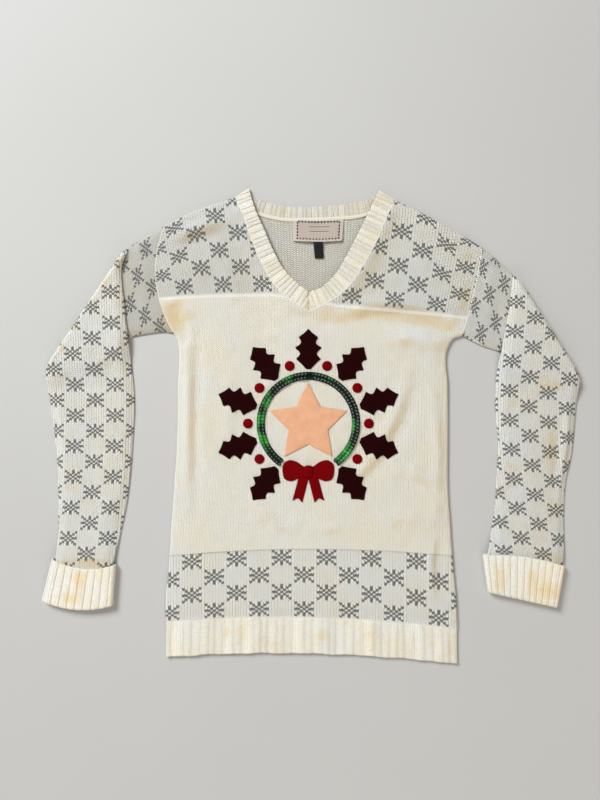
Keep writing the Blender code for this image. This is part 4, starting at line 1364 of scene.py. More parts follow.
def sequin_finish(name):
    """Cupped foil sequins: near-black green, with a painted glint of brighter green in patches, strongest on
    random single sequins.
    """
    sequin = bpy.context.scene.sweater_sequin
    finish = Finish(name)
    patch = ((finish.noise(30.0, 1.0) - 0.54) * 9.0).clamped()
    single = finish.stored("glint")
    colour = finish.mix((patch * (0.35 + single * 0.65)).low(1.0), sequin.foil, sequin.glint)
    eye = ((finish.stored("eye") - 0.55) * 2.5).clamped()
    finish.feed(base_color=finish.mix(eye * 0.7, colour, (0.2, 0.23, 0.2)))
    finish.constants(metallic=0.15, roughness=0.42, specular_ior_level=0.15)
    finish.constants(coat_weight=0.05, coat_roughness=0.2)
    return finish.material


def woven_finish(name, colour, pitch, ruled):
    """A finely woven ribbon, plain or with two rules across it."""
    finish = Finish(name)
    x, y = finish.apart(finish.output("ShaderNodeTexCoord", key="Object"))
    weft, warp = (abs((way * (math.pi / pitch)).sin()) for way in (y, x))
    weave = weft * 0.6 + warp * 0.4
    tone = finish.mix(weave, scaled(colour, 0.8), colour)
    if ruled:
        left, low, right, high = LABEL_BORDER
        thread = bpy.context.scene.sweater_label.thread
        across = x - (left + right) / 2
        sag = across**2 * 1.6
        rules = 0.0
        for share in (0.4, 0.66):
            level = low + (high - low) * share
            rules = (abs(y - sag - level) < 0.00042) + rules
        span = abs(across - 0.001) < 0.0145
        inner = (abs(across) < (right - left) / 2) * (abs(y - (low + high) / 2) < (high - low) / 2)
        tone = finish.mix(inner * 0.85 + 0.15, scaled(colour, (1.15, 1.2, 1.24)), tone)
        tone = finish.mix((rules * span).low(1.0) * 0.9, tone, thread)
    finish.feed(base_color=tone)
    finish.bump(weave + finish.noise(1600.0, 1.0) * 0.3, 0.0002)
    finish.constants(roughness=0.75, sheen_weight=0.1, specular_ior_level=0.25)
    return finish.material


def thread_finish(name, colour):
    """Twisted sewing thread."""
    finish = Finish(name)
    twist = finish.noise(2200.0, 1.0)
    finish.feed(base_color=finish.mix(twist, scaled(colour, 0.7), scaled(colour, 1.25)))
    finish.bump(twist, 0.0002)
    finish.constants(roughness=0.8, specular_ior_level=0.2)
    return finish.material


# --- Geometry trees ---


def geometry_tree(name, *sizes, seed=False):
    """A geometry tree with named inputs: its sizes, its material and, if it needs one, a seed."""
    group = bpy.data.node_groups.new(name, "GeometryNodeTree")
    group.interface.new_socket("Geometry", in_out="OUTPUT", socket_type="NodeSocketGeometry")
    kinds = {"Geometry": "Geometry", **dict.fromkeys(sizes, "Float"), "Material": "Material"}
    if seed:
        kinds["Seed"] = "Int"
    for key, kind in kinds.items():
        group.interface.new_socket(key, in_out="INPUT", socket_type=f"NodeSocket{kind}")
    tree = Tree(group)
    given = tree.node("NodeGroupInput")
    return tree, {socket.name: tree.signal(socket) for socket in given.outputs if socket.name}


def close_tree(tree, geometry, material):
    """End a geometry tree: real meshes, one material, the output."""
    real = tree.output("GeometryNodeRealizeInstances", None, {0: geometry})
    painted = tree.output("GeometryNodeSetMaterial", None, {"Geometry": real, "Material": material})
    tree.node("NodeGroupOutput", None, {0: painted})
    return tree.tree


def run_tree(obj, group, **values):
    """Run a geometry tree on an object and keep what it makes as a plain mesh."""
    modifier = obj.modifiers.new(group.name, "NODES")
    modifier.node_group = group
    keys = {item.name: item.identifier for item in group.interface.items_tree if item.in_out == "INPUT"}
    for key, value in values.items():
        modifier[keys[key]] = value
    apply_modifiers(obj)


@functools.cache
def rib_tree():
    """Sinks grooves between ribs: the stored rib number gives the place, the stored depth how deep."""
    tree, given = geometry_tree("rib_grooves", "Depth", "Ridge")
    wave = abs((tree.named("rib") * math.pi).sin())
    sunk = (1 - wave ** given["Ridge"]) * tree.named("rib_depth")
    inputs = {0: tree.output("GeometryNodeInputNormal"), "Scale": sunk * given["Depth"] * -1.0}
    offset = tree.output("ShaderNodeVectorMath", {"operation": "SCALE"}, inputs)
    moved = tree.output("GeometryNodeSetPosition", None, {"Geometry": given["Geometry"], "Offset": offset})
    return close_tree(tree, tree.store(moved, "groove", sunk), given["Material"])


def along_lines(tree, given, piece, spin, scale=(1.0, 1.0, 1.0)):
    """Copies of a piece, a spacing apart along the lines, each turned by spin from the way its line runs."""
    line = tree.output("GeometryNodeMeshToCurve", None, {0: given["Geometry"]})
    sockets = {"Curve": line, "Length": given["Spacing"]}
    points = tree.output("GeometryNodeResampleCurve", {"mode": "LENGTH"}, sockets)
    tangent = tree.output("GeometryNodeInputTangent")
    aimed = tree.output("FunctionNodeAlignRotationToVector", {"axis": "X"}, {"Vector": tangent})
    turn = tree.output("FunctionNodeEulerToRotation", None, {0: spin})
    both = tree.output("FunctionNodeRotateRotation", {"rotation_space": "LOCAL"}, {0: aimed, 1: turn})
    sockets = {"Points": points, "Instance": piece, "Rotation": both, "Scale": scale}
    return tree.output("GeometryNodeInstanceOnPoints", None, sockets)


@functools.cache
def stitch_tree():
    """Sews stitches along lines: short rounded threads a spacing apart, turned by an angle, alternately."""
    tree, given = geometry_tree("edge_stitches", "Spacing", "Length", "Width", "Turn")
    ball = tree.output("GeometryNodeMeshUVSphere", None, {"Segments": 6, "Rings": 5, "Radius": 0.5})
    side = (tree.signal(tree.output("GeometryNodeInputIndex")) % 2) * -2.0 + 1.0
    size = tree.vector(given["Length"], given["Width"], given["Width"])
    sewn = along_lines(tree, given, ball, tree.vector(z=side * given["Turn"]), size)
    return close_tree(tree, sewn, given["Material"])


@functools.cache
def sequin_tree():
    """Strings sequins along lines: cupped discs that overlap like scales, each with its own small tilt."""
    tree, given = geometry_tree("sequin_strings", "Spacing", "Radius", "Tilt", "Wobble", seed=True)
    radius, tilt, wobble = given["Radius"], given["Tilt"], given["Wobble"]
    sockets = {"Vertices": 10, "Side Segments": 2, "Radius Top": radius * 0.3}
    sockets.update({"Radius Bottom": radius, "Depth": radius * 0.26})
    cone = tree.output("GeometryNodeMeshCone", {"fill_type": "NGON"}, sockets)
    place = tree.output("GeometryNodeInputPosition")
    reach = tree.output("ShaderNodeVectorMath", {"operation": "LENGTH"}, {0: place}, "Value")
    disc = tree.store(cone, "eye", tree.signal(reach) < radius * 0.5)
    low = tree.vector(wobble * -1.0, tilt - wobble, -0.3)
    high = tree.vector(wobble, tilt + wobble, 0.3)
    sockets = {0: low, 1: high, "Seed": given["Seed"]}
    spin = tree.output("FunctionNodeRandomValue", {"data_type": "FLOAT_VECTOR"}, sockets)
    strung = along_lines(tree, given, disc, spin)
    # A random value for each sequin, which picks those that get the painted glint
    glint = tree.output("FunctionNodeRandomValue", {"data_type": "FLOAT"}, {"Seed": given["Seed"]}, 1)
    return close_tree(tree, tree.store(strung, "glint", glint, "INSTANCE"), given["Material"])


def line_object(name, lines, closed=False):
    """An object of bare edges: open or closed chains of points for the geometry trees to follow."""
    points, edges = [], []
    for line in lines:
        first = len(points)
        points += [tuple(p) for p in line]
        edges += [(k, k + 1) for k in range(first, len(points) - 1)]
        if closed:
            edges.append((len(points) - 1, first))
    mesh = bpy.data.meshes.new(name)
    mesh.from_pydata(points, edges, [])
    obj = bpy.data.objects.new(name, mesh)
    bpy.context.scene.collection.objects.link(obj)
    return obj


def sew(name, lines, thread, sewing, closed=False):
    """Stitches along lines, as one piece."""
    stitches = line_object(name, lines, closed)
    sizes = {key.title(): value for key, value in sewing._asdict().items()}
    run_tree(stitches, stitch_tree(), Material=thread, **sizes)
    finish_piece(stitches)


def sink_ribs(obj, node, rib, material):
    """Sink the grooves between a piece's ribs and finish it."""
    depth = rib.depth * bpy.context.scene.sweater_rib.depth
    run_tree(obj, rib_tree(), Depth=depth, Ridge=rib.ridge, Material=material)
    finish_piece(obj, [node])


# --- Torso ---


def edge_drops(x, y, neck):
    """How far the outer face comes down: right down at rolled sides, a little at seams and at the neck."""
    seam = 1.0 - ease(gap_to([*sewn_edges(), neck], x, y) / SEAM_WIDTH)
    return np.maximum(SIDE_DROP * roll(gap_to(rolled_edges(), x, y), SIDE_ROUND), SEAM_SINK * seam)


def build_front():
    """The front: one knitted panel with its creases, rolled sides and sunk seams."""
    step = bpy.context.scene.sweater_knit.step
    flat, faces = cloth_sheet(torso_outline(front_neck()), step, PANEL_RIMS)
    x, y = flat.T
    mid = front_mid(x, y)
    high = mid + WALL / 2 - edge_drops(x, y, front_neck())
    low = np.minimum(mid - WALL / 2, high - THINNEST)
    stitches = torso_stitches(x, y)
    in_yoke = ease((stitches[:, 1] - YOKE_ROW + 1.0) / 2.0)
    # Painted shade on the yoke, falling off to the right
    dusk = np.clip(YOKE_PAINTED_SHADE - YOKE_PAINTED_SHADE_TURN * x, 0.0, YOKE_PAINTED_SHADE_MOST) * in_yoke
    front = sheet_piece("front_knit", flat, faces, low, high, stitches, {"dusk": np.tile(dusk, 2)})
    # Painted light on the slopes, less of it near the seams, and painted shade in the hollows
    calm = ease(gap_to([front_neck(), *sewn_edges()], x, y) / SEAM_CALM)
    store_painted_light(front, np.tile(calm, 2))
    finish_piece(front, ["front_panel"], [knit_finish("snowflake_knit", plain=True)])


def build_back():
    """The back: its purl side up inside the neck, its knit side on the floor."""
    flat, faces = cloth_sheet(torso_outline(back_neck()), BACK_STEP, PANEL_RIMS)
    x, y = flat.T
    drops = edge_drops(x, y, back_neck())
    seen = ease(gap_to([back_neck()], x, y) / 0.03) * ease((y - 0.16) / 0.04)
    high = WALL - 0.3 * drops * (drops < SEAM_SINK) + seen * unevenness(x, y) * 0.6
    low = np.minimum(drops, high - THINNEST)
    back = sheet_piece("back_knit", flat, faces, low, high, torso_stitches(x, y))
    inside = read(back.data.polygons, "normal")[:, 2] > 0.7
    back.data.polygons.foreach_set("material_index", inside.astype(np.int32))
    finishes = [knit_finish("back_outside_knit", plain=True), purl_finish("back_inside_purl")]
    finish_piece(back, ["back_panel"], finishes)


# --- Tubes ---


def ring(middle, up, half, count, reach=1.0):
    """Points evenly round a flattened tube, from the middle of its over edge along its lower face first.

    Half is half its height, or one for each point of the middle line. Reach is how far the rounded
    edges stand out from the middle line's ends, in half heights.
    """
    up = np.array(up, dtype=float)
    half = np.maximum(np.broadcast_to(half, len(middle)), 1e-4)[:, None]
    out = unit(middle[-1] - middle[-2]) * reach
    back = unit(middle[0] - middle[1]) * reach
    quarter = np.radians(np.linspace(0, 90, 6))[:, None]
    turn = np.radians(np.linspace(0, 180, 11))[1:-1, None]
    loop = np.vstack(
        [
            middle[0] + half[0] * (back * np.cos(quarter[:-1]) - up * np.sin(quarter[:-1])),
            middle - up * half,
            middle[-1] + half[-1] * (out * np.sin(turn) - up * np.cos(turn)),
            (middle + up * half)[::-1],
            middle[0] + half[0] * (back * np.sin(quarter[1:]) + up * np.cos(quarter[1:])),
        ]
    )
    return spread(loop, count)[:-1]


def thinning(gap):
    """How much of a sleeve's height is missing at a distance from its edge."""
    return EDGE_THIN * (1.0 - ease(gap / EDGE_SPAN))


def line_points(line, inset, count=24):
    """Points across a sleeve or cuff between its two edges, drawn in from each by inset and bowed along Y."""
    over = np.array([line.over_x, line.over_y])
    under = np.array([line.under_x, line.under_y])
    run = unit(under - over) * inset
    s = np.linspace(0.0, 1.0, count + 1)[:, None]
    return (over + run) * (1 - s) + (under - run) * s + np.array([0.0, line.bow]) * 4 * s * (1 - s)


def cuff_line(free, turn, along):
    """The line across a cuff, from its free edge at 0 to its turned edge at 1."""
    return Line(*(a + (b - a) * along for a, b in zip(free, turn)))


def sleeve_stations(armhole, outward, upper, crest, lower, free, turn, mouth_inset):
    """Every station of a sleeve: middle line, up direction and height; and how many come before the fold."""
    edge = 0.5 * SLEEVE_EDGE * (1.0 - EDGE_THIN)
    seam = armhole_line(armhole, 24, -outward * JOIN)
    for end, after in ((0, 1), (-1, -2)):
        seam[end] += unit(seam[after] - seam[end]) * FLAT_TUBE * edge
    seam = even(seam, lengths(seam)[-1] / 24)
    stations = [(with_z(seam, HALF_TUBE), (0, 0, 1), FLAT_TUBE)]
    s = np.linspace(0.0, 1.0, 25)
    for row in upper:
        flat = line_points(row._replace(bow=0.0), row.height * edge)
        flat[:, 0] += row.bow * 4 * s * (1 - s)
        stations.append((with_z(flat, row.height / 2), (0, 0, 1), row.height))
    before_fold = len(stations)

    radius = (FOLD_HEIGHT + FOLD_GAP) / 2
    crest_flat = line_points(crest, FOLD_HEIGHT * edge)
    out = square_to(crest_flat[-1] - crest_flat[0], (outward, 0.0))
    hinge = crest_flat - out * (radius + FOLD_HEIGHT / 2)
    over = np.array([(row.over_x, row.over_y) for row in (*upper, crest)])
    for step in range(BEND_STEPS + 1):
        angle = math.pi * step / BEND_STEPS
        flat = hinge + out * radius * math.sin(angle)
        z = FOLD_HEIGHT / 2 + radius * (1 - math.cos(angle))
        z = z - FOLD_HEIGHT * (1 - math.cos(angle)) / 2 * thinning(gap_to([over], *flat.T))
        stations.append((with_z(flat, z), (*(-out * math.sin(angle)), math.cos(angle)), FOLD_HEIGHT))

    edge_start = np.array([upper[2].under_x, upper[2].under_y])
    down = square_to((crest.under_x, crest.under_y) - edge_start, (0.0, -1.0))
    for row in lower:
        flat = line_points(row, row.height * edge)
        lift = (FOLD_HEIGHT + FOLD_GAP) * (1 - ease(((flat - edge_start) @ down - DROP_START) / DROP_LENGTH))
        lift = lift * (1.0 - thinning(gap_to([over], *flat.T)))
        stations.append((with_z(flat, row.height / 2 + lift), (0, 0, -1), row.height))
    end_height = 2 * (CUFF_OUTER[0] - SEAM)
    inset = CUFF_OUTER[1] - CUFF_OUTER[0] + 2 * SEAM + end_height * edge
    for place, extra in ((SLEEVE_MOUTH, mouth_inset), (SLEEVE_END, 0.4 * mouth_inset)):
        line = cuff_line(free, turn, place)
        line = line._replace(over_x=line.over_x + extra * outward)
        stations.append((with_z(line_points(line, inset), CUFF_OUTER[1]), (0, 0, -1), end_height))
    return stations, before_fold


def sleeve_skin(rows, wall, sink):
    """One skin of a sleeve, a ring of points to each row: inside the outer face by wall and by sink."""
    skin = []
    for row, drop in zip(rows, sink):
        middle = row[:-4].reshape(-1, 3)
        place = lengths(middle)
        missing = row[-1] / 2 * thinning(np.minimum(place, place[-1] - place))
        half = row[-1] / 2 - missing - wall - drop
        middle = middle - missing[:, None] * (0.0, 0.0, 1.0)
        skin.append(ring(middle, unit(row[-4:-1]), half, SLEEVE_ROUND, SLEEVE_EDGE))
    return np.array(skin)


def build_sleeve(side, shape, upper_motif, lower_motif, column):
    """A sleeve: a flattened tube with a wall, folded down, snowflakes all over."""
    stations, before_fold = sleeve_stations(*shape)
    rows = np.array([np.concatenate([middle.ravel(), up, [height]]) for middle, up, height in stations])
    reach = lengths(np.array([middle[12] for middle, _, _ in stations]))
    wanted = np.concatenate([SLEEVE_START, np.arange(SLEEVE_BODY, reach[-1], SLEEVE_STEP)])
    at = np.interp(wanted, reach, np.arange(len(reach)))
    dense = spline(rows, at)
    sink = SEAM_SINK * (1.0 - ease(wanted / SEAM_WIDTH))
    outer, inner = sleeve_skin(dense, 0.0, sink), sleeve_skin(dense, WALL, sink * -0.3)
    centre = dense[:, :-4].reshape(len(dense), -1, 3).mean(axis=1)[:, None, 2]
    above = ease((outer[..., 2] - centre) / 0.002)
    settle = ease(wanted / 0.02)[:, None] * ease((wanted[-1] - wanted) / 0.03)[:, None]
    places = outer[..., 0], outer[..., 1]
    outer[..., 2] += above * settle * (ridges(SLEEVE_CREASES, *places) + unevenness(*places))
    grid = np.concatenate([outer, inner[::-1]])
    grid[..., 2] = np.maximum(grid[..., 2], 0.0)

    flat = grid.reshape(-1, 3)
    x, y, _ = flat.T
    on_upper = motif_stitches(upper_motif, x, y)
    on_lower = column_stitches(lower_motif, column, x, y)
    folded = np.concatenate([at, at[::-1]]) >= before_fold
    face_folded = np.repeat(folded & np.roll(folded, -1), SLEEVE_ROUND)
    faces = outward(flat, grid_faces(*grid.shape[:2]))
    stitches = np.where(face_folded[:, None, None], on_lower[faces], on_upper[faces]).reshape(-1, 2)
    # Painted shade on the upper, unfolded part of the sleeve
    dusk = np.repeat(np.where(folded, 0.0, SLEEVE_PAINTED_SHADE[side]), SLEEVE_ROUND)
    name = f"sleeve_{side}_knit"
    sleeve = new_piece(name, flat, faces.tolist(), stitches, {"dusk": dusk})
    # Painted light on the slopes, and painted shade in the hollows
    store_painted_light(sleeve, SLEEVE_PAINTED_LIGHT)
    snowflakes = knit_finish(f"{name}_snowflakes", plain=False)
    finish_piece(sleeve, [f"sleeve_{side}"], [snowflakes])


def build_sleeves():
    """Both sleeves."""
    left = (LEFT_ARMHOLE, -1, LEFT_UPPER, LEFT_CREST, LEFT_LOWER, LEFT_FREE, LEFT_TURN, 0.001)
    right = (RIGHT_ARMHOLE, 1, RIGHT_UPPER, RIGHT_CREST, RIGHT_LOWER, RIGHT_FREE, RIGHT_TURN, 0.008)
    build_sleeve("left", left, LEFT_UPPER_MOTIF, LEFT_LOWER_MOTIF, LEFT_COLUMN)
    build_sleeve("right", right, RIGHT_UPPER_MOTIF, RIGHT_LOWER_MOTIF, RIGHT_COLUMN)


def swayed(number, sway, slow, quick):
    """Rib numbers that run a little ahead and behind, so that no two ribs are quite as wide."""
    return number + sway * np.sin(number * slow) + 0.12 * np.sin(number * quick + 1.0)


def profile_through(corners, step):
    """A closed wall section: evenly spaced, its corners rounded."""
    line = even(corners, step, closed=True)
    for _ in range(2):
        after = np.roll(line, -1, axis=0)
        line = np.stack([line * 0.75 + after * 0.25, line * 0.25 + after * 0.75], axis=1).reshape(-1, 2)
        line = even(line, step, closed=True)
    return line


def build_cuff(side, free, turn):
    """A turned-back cuff: inner layer, turned edge and outer layer in one ribbed skin."""
    middle = (CUFF_OUTER[1] + CUFF_INNER[0]) / 2
    bulge = CUFF_OUTER[1] - middle
    rim = 1.0 - bulge / CUFF_DEPTH
    shoulder = rim + TURN_SHOULDER * (1 - rim)
    section = [
        (0.0, CUFF_OUTER[0]),
        (0.0, CUFF_OUTER[1]),
        (rim, CUFF_OUTER[1]),
        (shoulder, middle + TURN_SHOULDER * bulge),
        (1.0, middle),
        (shoulder, middle - TURN_SHOULDER * bulge),
        (rim, CUFF_INNER[0]),
        (CUFF_TUCK, CUFF_INNER[0]),
        (CUFF_TUCK, CUFF_INNER[1]),
        (CUFF_SLIT, CUFF_INNER[1]),
        (CUFF_SLIT, CUFF_OUTER[0]),
    ]
    section = profile_through(np.array(section) * (CUFF_DEPTH, 1.0), CUFF_RIB.step)
    width = math.hypot(free.under_x - free.over_x, free.under_y - free.over_y)
    ribs = round(2 * width / bpy.context.scene.sweater_rib.cuff_pitch)
    count = ribs * CUFF_RIB.points
    grid = []
    for along, half in section:
        flat = line_points(cuff_line(free, turn, along / CUFF_DEPTH), CUFF_OUTER[1])
        grid.append(ring(with_z(flat, CUFF_OUTER[1]), (0, 0, 1), half, count))
    grid = np.array(grid)
    upper = ease((grid[..., 2] - CUFF_OUTER[1]) / 0.003)
    grid[..., 2] += upper * ridges(RIB_CREASES, grid[..., 0], grid[..., 1])
    outer = ease((section[:, 1] - CUFF_OUTER[0]) / WALL) * ease((CUFF_DEPTH - section[:, 0]) / 0.002 + 0.5)
    outer = np.maximum(outer, 0.8 * ease((section[:, 0] - CUFF_DEPTH + 0.006) / 0.004))
    around = np.arange(count) / count * ribs
    row = lengths(section)[:, None] / CUFF_RIB.row
    attributes = {"rib": around, "rib_depth": outer[:, None]}
    name = f"cuff_{side}_knit"
    cuff = grid_piece(name, grid, around * CUFF_RIB.stitches, row, attributes)
    # Painted light on the slopes, and painted shade in the hollows
    store_painted_light(cuff)
    sink_ribs(cuff, f"cuff_{side}", CUFF_RIB, rib_finish(f"{name}_knit", CUFF_RIB.shade, CUFF_RIB.tint))


def build_cuffs():
    """Both cuffs."""
    build_cuff("left", LEFT_FREE, LEFT_TURN)
    build_cuff("right", RIGHT_FREE, RIGHT_TURN)


def build_hem():
    """The hem: a flattened ribbed tube along the bottom of the torso."""
    depth = course_y(HEM_TOP, 0.0) - course_y(HEM_BOTTOM, 0.0) + JOIN
    inner_half = HALF_TUBE - WALL
    corners = [(0.0, inner_half), (0.0, HALF_TUBE), (depth, HALF_TUBE - 0.0009), (depth, inner_half)]
    section = profile_through(corners, HEM_RIB.step)
    ribs = round(2 * (HEM_RIGHT - HEM_LEFT) / bpy.context.scene.sweater_rib.hem_pitch)
    count = ribs * HEM_RIB.points
    low, high = course_line(HEM_BOTTOM, 0.006), course_line(HEM_TOP, 0.006) + (0.0, JOIN)
    low[:, 1] += HEM_WAVE * (np.sin(low[:, 0] * 150.0) + np.sin(low[:, 0] * 87.0 + 2.0))
    for line in (low, high):
        line[[0, -1], 0] += (HALF_TUBE, -HALF_TUBE)
    grid = []
    for along, half in section:
        flat = low + (high - low) * along / depth
        grid.append(ring(with_z(flat, HALF_TUBE), (0, 0, 1), half, count))
    grid = np.array(grid)
    x, y = grid[..., 0], grid[..., 1]
    upper = ease((grid[..., 2] - HALF_TUBE) / 0.0015)
    grid[..., 2] += upper * (ridges(RIB_CREASES, x, y) + unevenness(x, y))
    outer = ease((section[:, 1] - inner_half) / (WALL * 0.9))
    fade = ease((depth - section[:, 0]) / 0.006) * 0.75 + 0.25
    around = np.arange(count) / count * ribs
    around = swayed(around, 0.2, 0.9, 2.3)
    row = lengths(section)[:, None] / HEM_RIB.row
    attributes = {"rib": around, "rib_depth": (outer * fade)[:, None]}
    hem = grid_piece("hem_knit", grid, around * HEM_RIB.stitches, row, attributes)
    # Painted light on the slopes, and painted shade in the hollows
    store_painted_light(hem)
    sink_ribs(hem, "hem_rib", HEM_RIB, rib_finish("hem_rib_knit", HEM_RIB.shade, HEM_RIB.tint))


# --- Collar ---


def flat_stretch(rows, heights, up):
    """Seam edge, free edge and up direction of each section where the band lies flat."""
    return [((*row[:2], z), (*row[2:], z), (0.0, 0.0, up)) for row, z in zip(rows, heights)]


def fold_stretch(row, angles):
    """The same round the fold at a shoulder."""
    seam, free = np.array(row[:2]), np.array(row[2:])
    out = fold_out(row)
    radius = (FRONT_MID - BACK_MID) / 2
    found = []
    for angle in np.radians(angles):
        shift = out * (radius * math.cos(angle) - HALF_TUBE)
        z = (FRONT_MID + BACK_MID) / 2 + radius * math.sin(angle)
        up = (*(out * math.cos(angle)), math.sin(angle))
        found.append(((*(seam + shift), z), (*(free + shift), z), up))
    return found


def collar_sections():
    """Every section of the collar, up the left of the V, round the back neck and down to the V again."""
    left = band_rows(COLLAR_LEFT, (0,), COLLAR_STEP)[::-1]
    right = band_rows(COLLAR_RIGHT, (0,), COLLAR_STEP)
    back = band_rows(COLLAR_BACK, (0, -1), COLLAR_STEP)[1:-1]
    down = np.linspace(90, -90, SHOULDER_SECTIONS)
    sections = flat_stretch(left[:-1], front_mid(left[:-1, 0], left[:-1, 1]), 1.0)
    sections += fold_stretch(COLLAR_LEFT[0], down)
    sections += flat_stretch(back, [BACK_MID] * len(back), -1.0)
    sections += fold_stretch(COLLAR_RIGHT[0], down[::-1])
    sections += flat_stretch(right[1:-1], front_mid(right[1:-1, 0], right[1:-1, 1]), 1.0)
    return np.array(sections)


def build_collar():
    """The collar: one ribbed band, cut across in a mitre at the point of the V."""
    seam, free, up = collar_sections().transpose(1, 0, 2)
    width = np.linalg.norm(free - seam, axis=1)[:, None]
    run = (free - seam) / width
    middle = (seam + free) / 2
    ahead = np.zeros(middle.shape)
    ahead[1:-1] = middle[2:] - middle[:-2]
    ahead[0], ahead[-1] = ahead[MITRE_RUN], ahead[-1 - MITRE_RUN]
    ahead = ahead / np.linalg.norm(ahead, axis=1)[:, None]

    corners = [(0.0, -0.5), (1.0, -0.5), (1.0, 0.5), (0.0, 0.5)]
    section = profile_through(np.array(corners) * (COLLAR_WIDTH, WALL), COLLAR_RIB.step)
    from_seam, rise = section.T
    across = (from_seam / COLLAR_WIDTH)[:, None] * (width[:, None, :] + JOIN) - JOIN
    grid = seam[:, None, :] + run[:, None, :] * across + up[:, None, :] * rise[:, None]
    place = lengths(middle)
    from_mitre = np.minimum(place, place[-1] - place)
    sink = 0.0006 * (1.0 - ease(from_mitre / 0.0026))[:, None] + 0.0004 * (1.0 - ease(from_seam / 0.003))
    grid -= up[:, None, :] * (sink * ease(rise / WALL + 0.5))[..., None]

    along = place[:, None] + np.einsum("ijk,ik->ij", grid - middle[:, None, :], ahead)
    first_half = place[:, None] < place[-1] / 2
    number = np.where(first_half, along, place[-1] - along) / bpy.context.scene.sweater_rib.collar_pitch
    number = swayed(number, 0.22, 1.3, 2.9)
    depth = (0.45 + 0.55 * ease(from_seam / 0.004)) * np.where(rise > 0, 1.0, 0.7)
    # Painted shade on the collar's back stretch, behind the neck
    behind = ease((middle[:, 1] - 0.29) / 0.04) * (up[:, 2] < 0.5)
    attributes = {"rib": number, "rib_depth": depth, "dusk": 0.62 * behind[:, None]}
    row = across[..., 0] / COLLAR_RIB.row
    collar = grid_piece("collar_knit", grid, number * COLLAR_RIB.stitches, row, attributes)
    yarn = bpy.context.scene.sweater_knit.rib
    sink_ribs(collar, "collar", COLLAR_RIB, rib_finish("collar_rib_knit", COLLAR_RIB.shade, yarn))


def build_chains():
    """The chains of cream stitches that link collar, sleeves and hem to the front."""
    thread = thread_finish("chain_yarn", (0.86, 0.84, 0.77))
    neck = even(front_neck(), CHAIN_STEP)[6:-6]
    neck = with_z(neck, front_top(*neck.T) - 0.0005)
    sew("neck_chain_stitches", [neck], thread, NECK_CHAIN)
    joints = []
    for armhole, shift in ((LEFT_ARMHOLE, JOIN), (RIGHT_ARMHOLE, -JOIN)):
        line = even(armhole_line(armhole, 60, shift), CHAIN_STEP)[3:-3]
        joints.append(with_z(line, FLAT_TUBE - 0.0005))
    sew("armhole_stitches", joints, thread, ARMHOLE_CHAIN)
    hem = course_line(HEM_TOP, CHAIN_STEP)[3:-3] + (0.0, 0.0008)
    sew("hem_joint_stitches", [with_z(hem, FLAT_TUBE - 0.0006)], thread, HEM_CHAIN)


def build_neck_tape():
    """The cream tape that covers the seam inside the back neck."""
    rows = smooth(COLLAR_BACK, 0.003)[8:-8]
    run = rows[:, :2] - rows[:, 2:]
    run = run / np.linalg.norm(run, axis=1)[:, None]
    near, far = (rows[:, :2] + run * reach for reach in TAPE_REACH)
    outline = anticlockwise(np.vstack([far, near[::-1]]))
    flat, faces = cloth_sheet(even(outline, 0.0025, closed=True), 0.0022, (0.0006,))
    low = np.full(len(flat), WALL + 0.0001)
    high = low + 0.0008 + 0.0007 * rounded(gap_to([ringed(outline)], *flat.T), 0.0025)
    tape = sheet_piece("neck_tape", flat, faces, low, high)
    cream = scaled(bpy.context.scene.sweater_knit.rib, (0.84, 0.82, 0.77))
    finish_piece(tape, (), [woven_finish("neck_tape_twill", cream, 0.0009, ruled=False)])


# --- Label ---


def label_height(x, y):
    """Height of the label's underside: sewn down at the top, curled up along its lower edge."""
    left, low, right, high = LABEL_BOX
    down = np.clip((high - y) / (high - low), 0.0, 1.0)
    across = np.clip((x - left) / (right - left), 0.0, 1.0)
    lift = bpy.context.scene.sweater_label.lift
    return WALL + SEAM + lift * down**2 * (0.55 + 0.45 * np.sin(np.pi * across)) + 0.0004 * np.sin(9 * across)


def hang_label(flat):
    """Places on the label moved as it hangs: bowed down in the middle, its lower right corner drawn in."""
    left, low, right, high = LABEL_BOX
    across = (flat[:, 0] - left) / (right - left)
    down = (high - flat[:, 1]) / (high - low)
    return flat - np.column_stack([LABEL_DRAW * across * down, LABEL_SAG * np.sin(np.pi * across)])


def box_rim(box, step):
    """The four sides of a box as evenly spaced points, anticlockwise."""
    left, low, right, high = box
    return even([(left, low), (right, low), (right, high), (left, high)], step, closed=True)


def build_label():
    """The woven label with its stitched border and two rules, and the size tab below it."""
    label_settings = bpy.context.scene.sweater_label
    flat, faces = cloth_sheet(box_rim(LABEL_BOX, 0.0018), 0.0018, LABEL_RIMS)
    low = label_height(*flat.T)
    label = sheet_piece("label_woven", hang_label(flat), faces, low, low + LABEL_THICKNESS)
    weave = woven_finish("label_weave", label_settings.cloth, 0.0007, ruled=True)
    finish_piece(label, ["neck_label"], [weave])

    rim = box_rim(LABEL_BORDER, 0.001)
    rim = with_z(hang_label(rim), label_height(*rim.T) + 0.0009)
    thread = thread_finish("label_thread", label_settings.thread)
    sew("label_stitches", [rim], thread, BORDER_STITCH, closed=True)

    flat, faces = cloth_sheet(box_rim(TAB_BOX, 0.0015), 0.0015, LABEL_RIMS)
    below = (TAB_BOX[3] - flat[:, 1]) / (TAB_BOX[3] - TAB_BOX[1])
    low = WALL + SEAM + TAB_LEAN * (1.0 - ease(below * 1.3)) + 0.0006 * ease(below)
    flat[:, 0] += TAB_LEAN * below
    tab = sheet_piece("size_tab_woven", flat, faces, low, low + TAB_THICKNESS)
    satin = woven_finish("tab_satin", (0.004, 0.004, 0.0045), 0.0006, ruled=False)
    finish_piece(tab, ["size_tab"], [satin])


# --- Appliqué ---


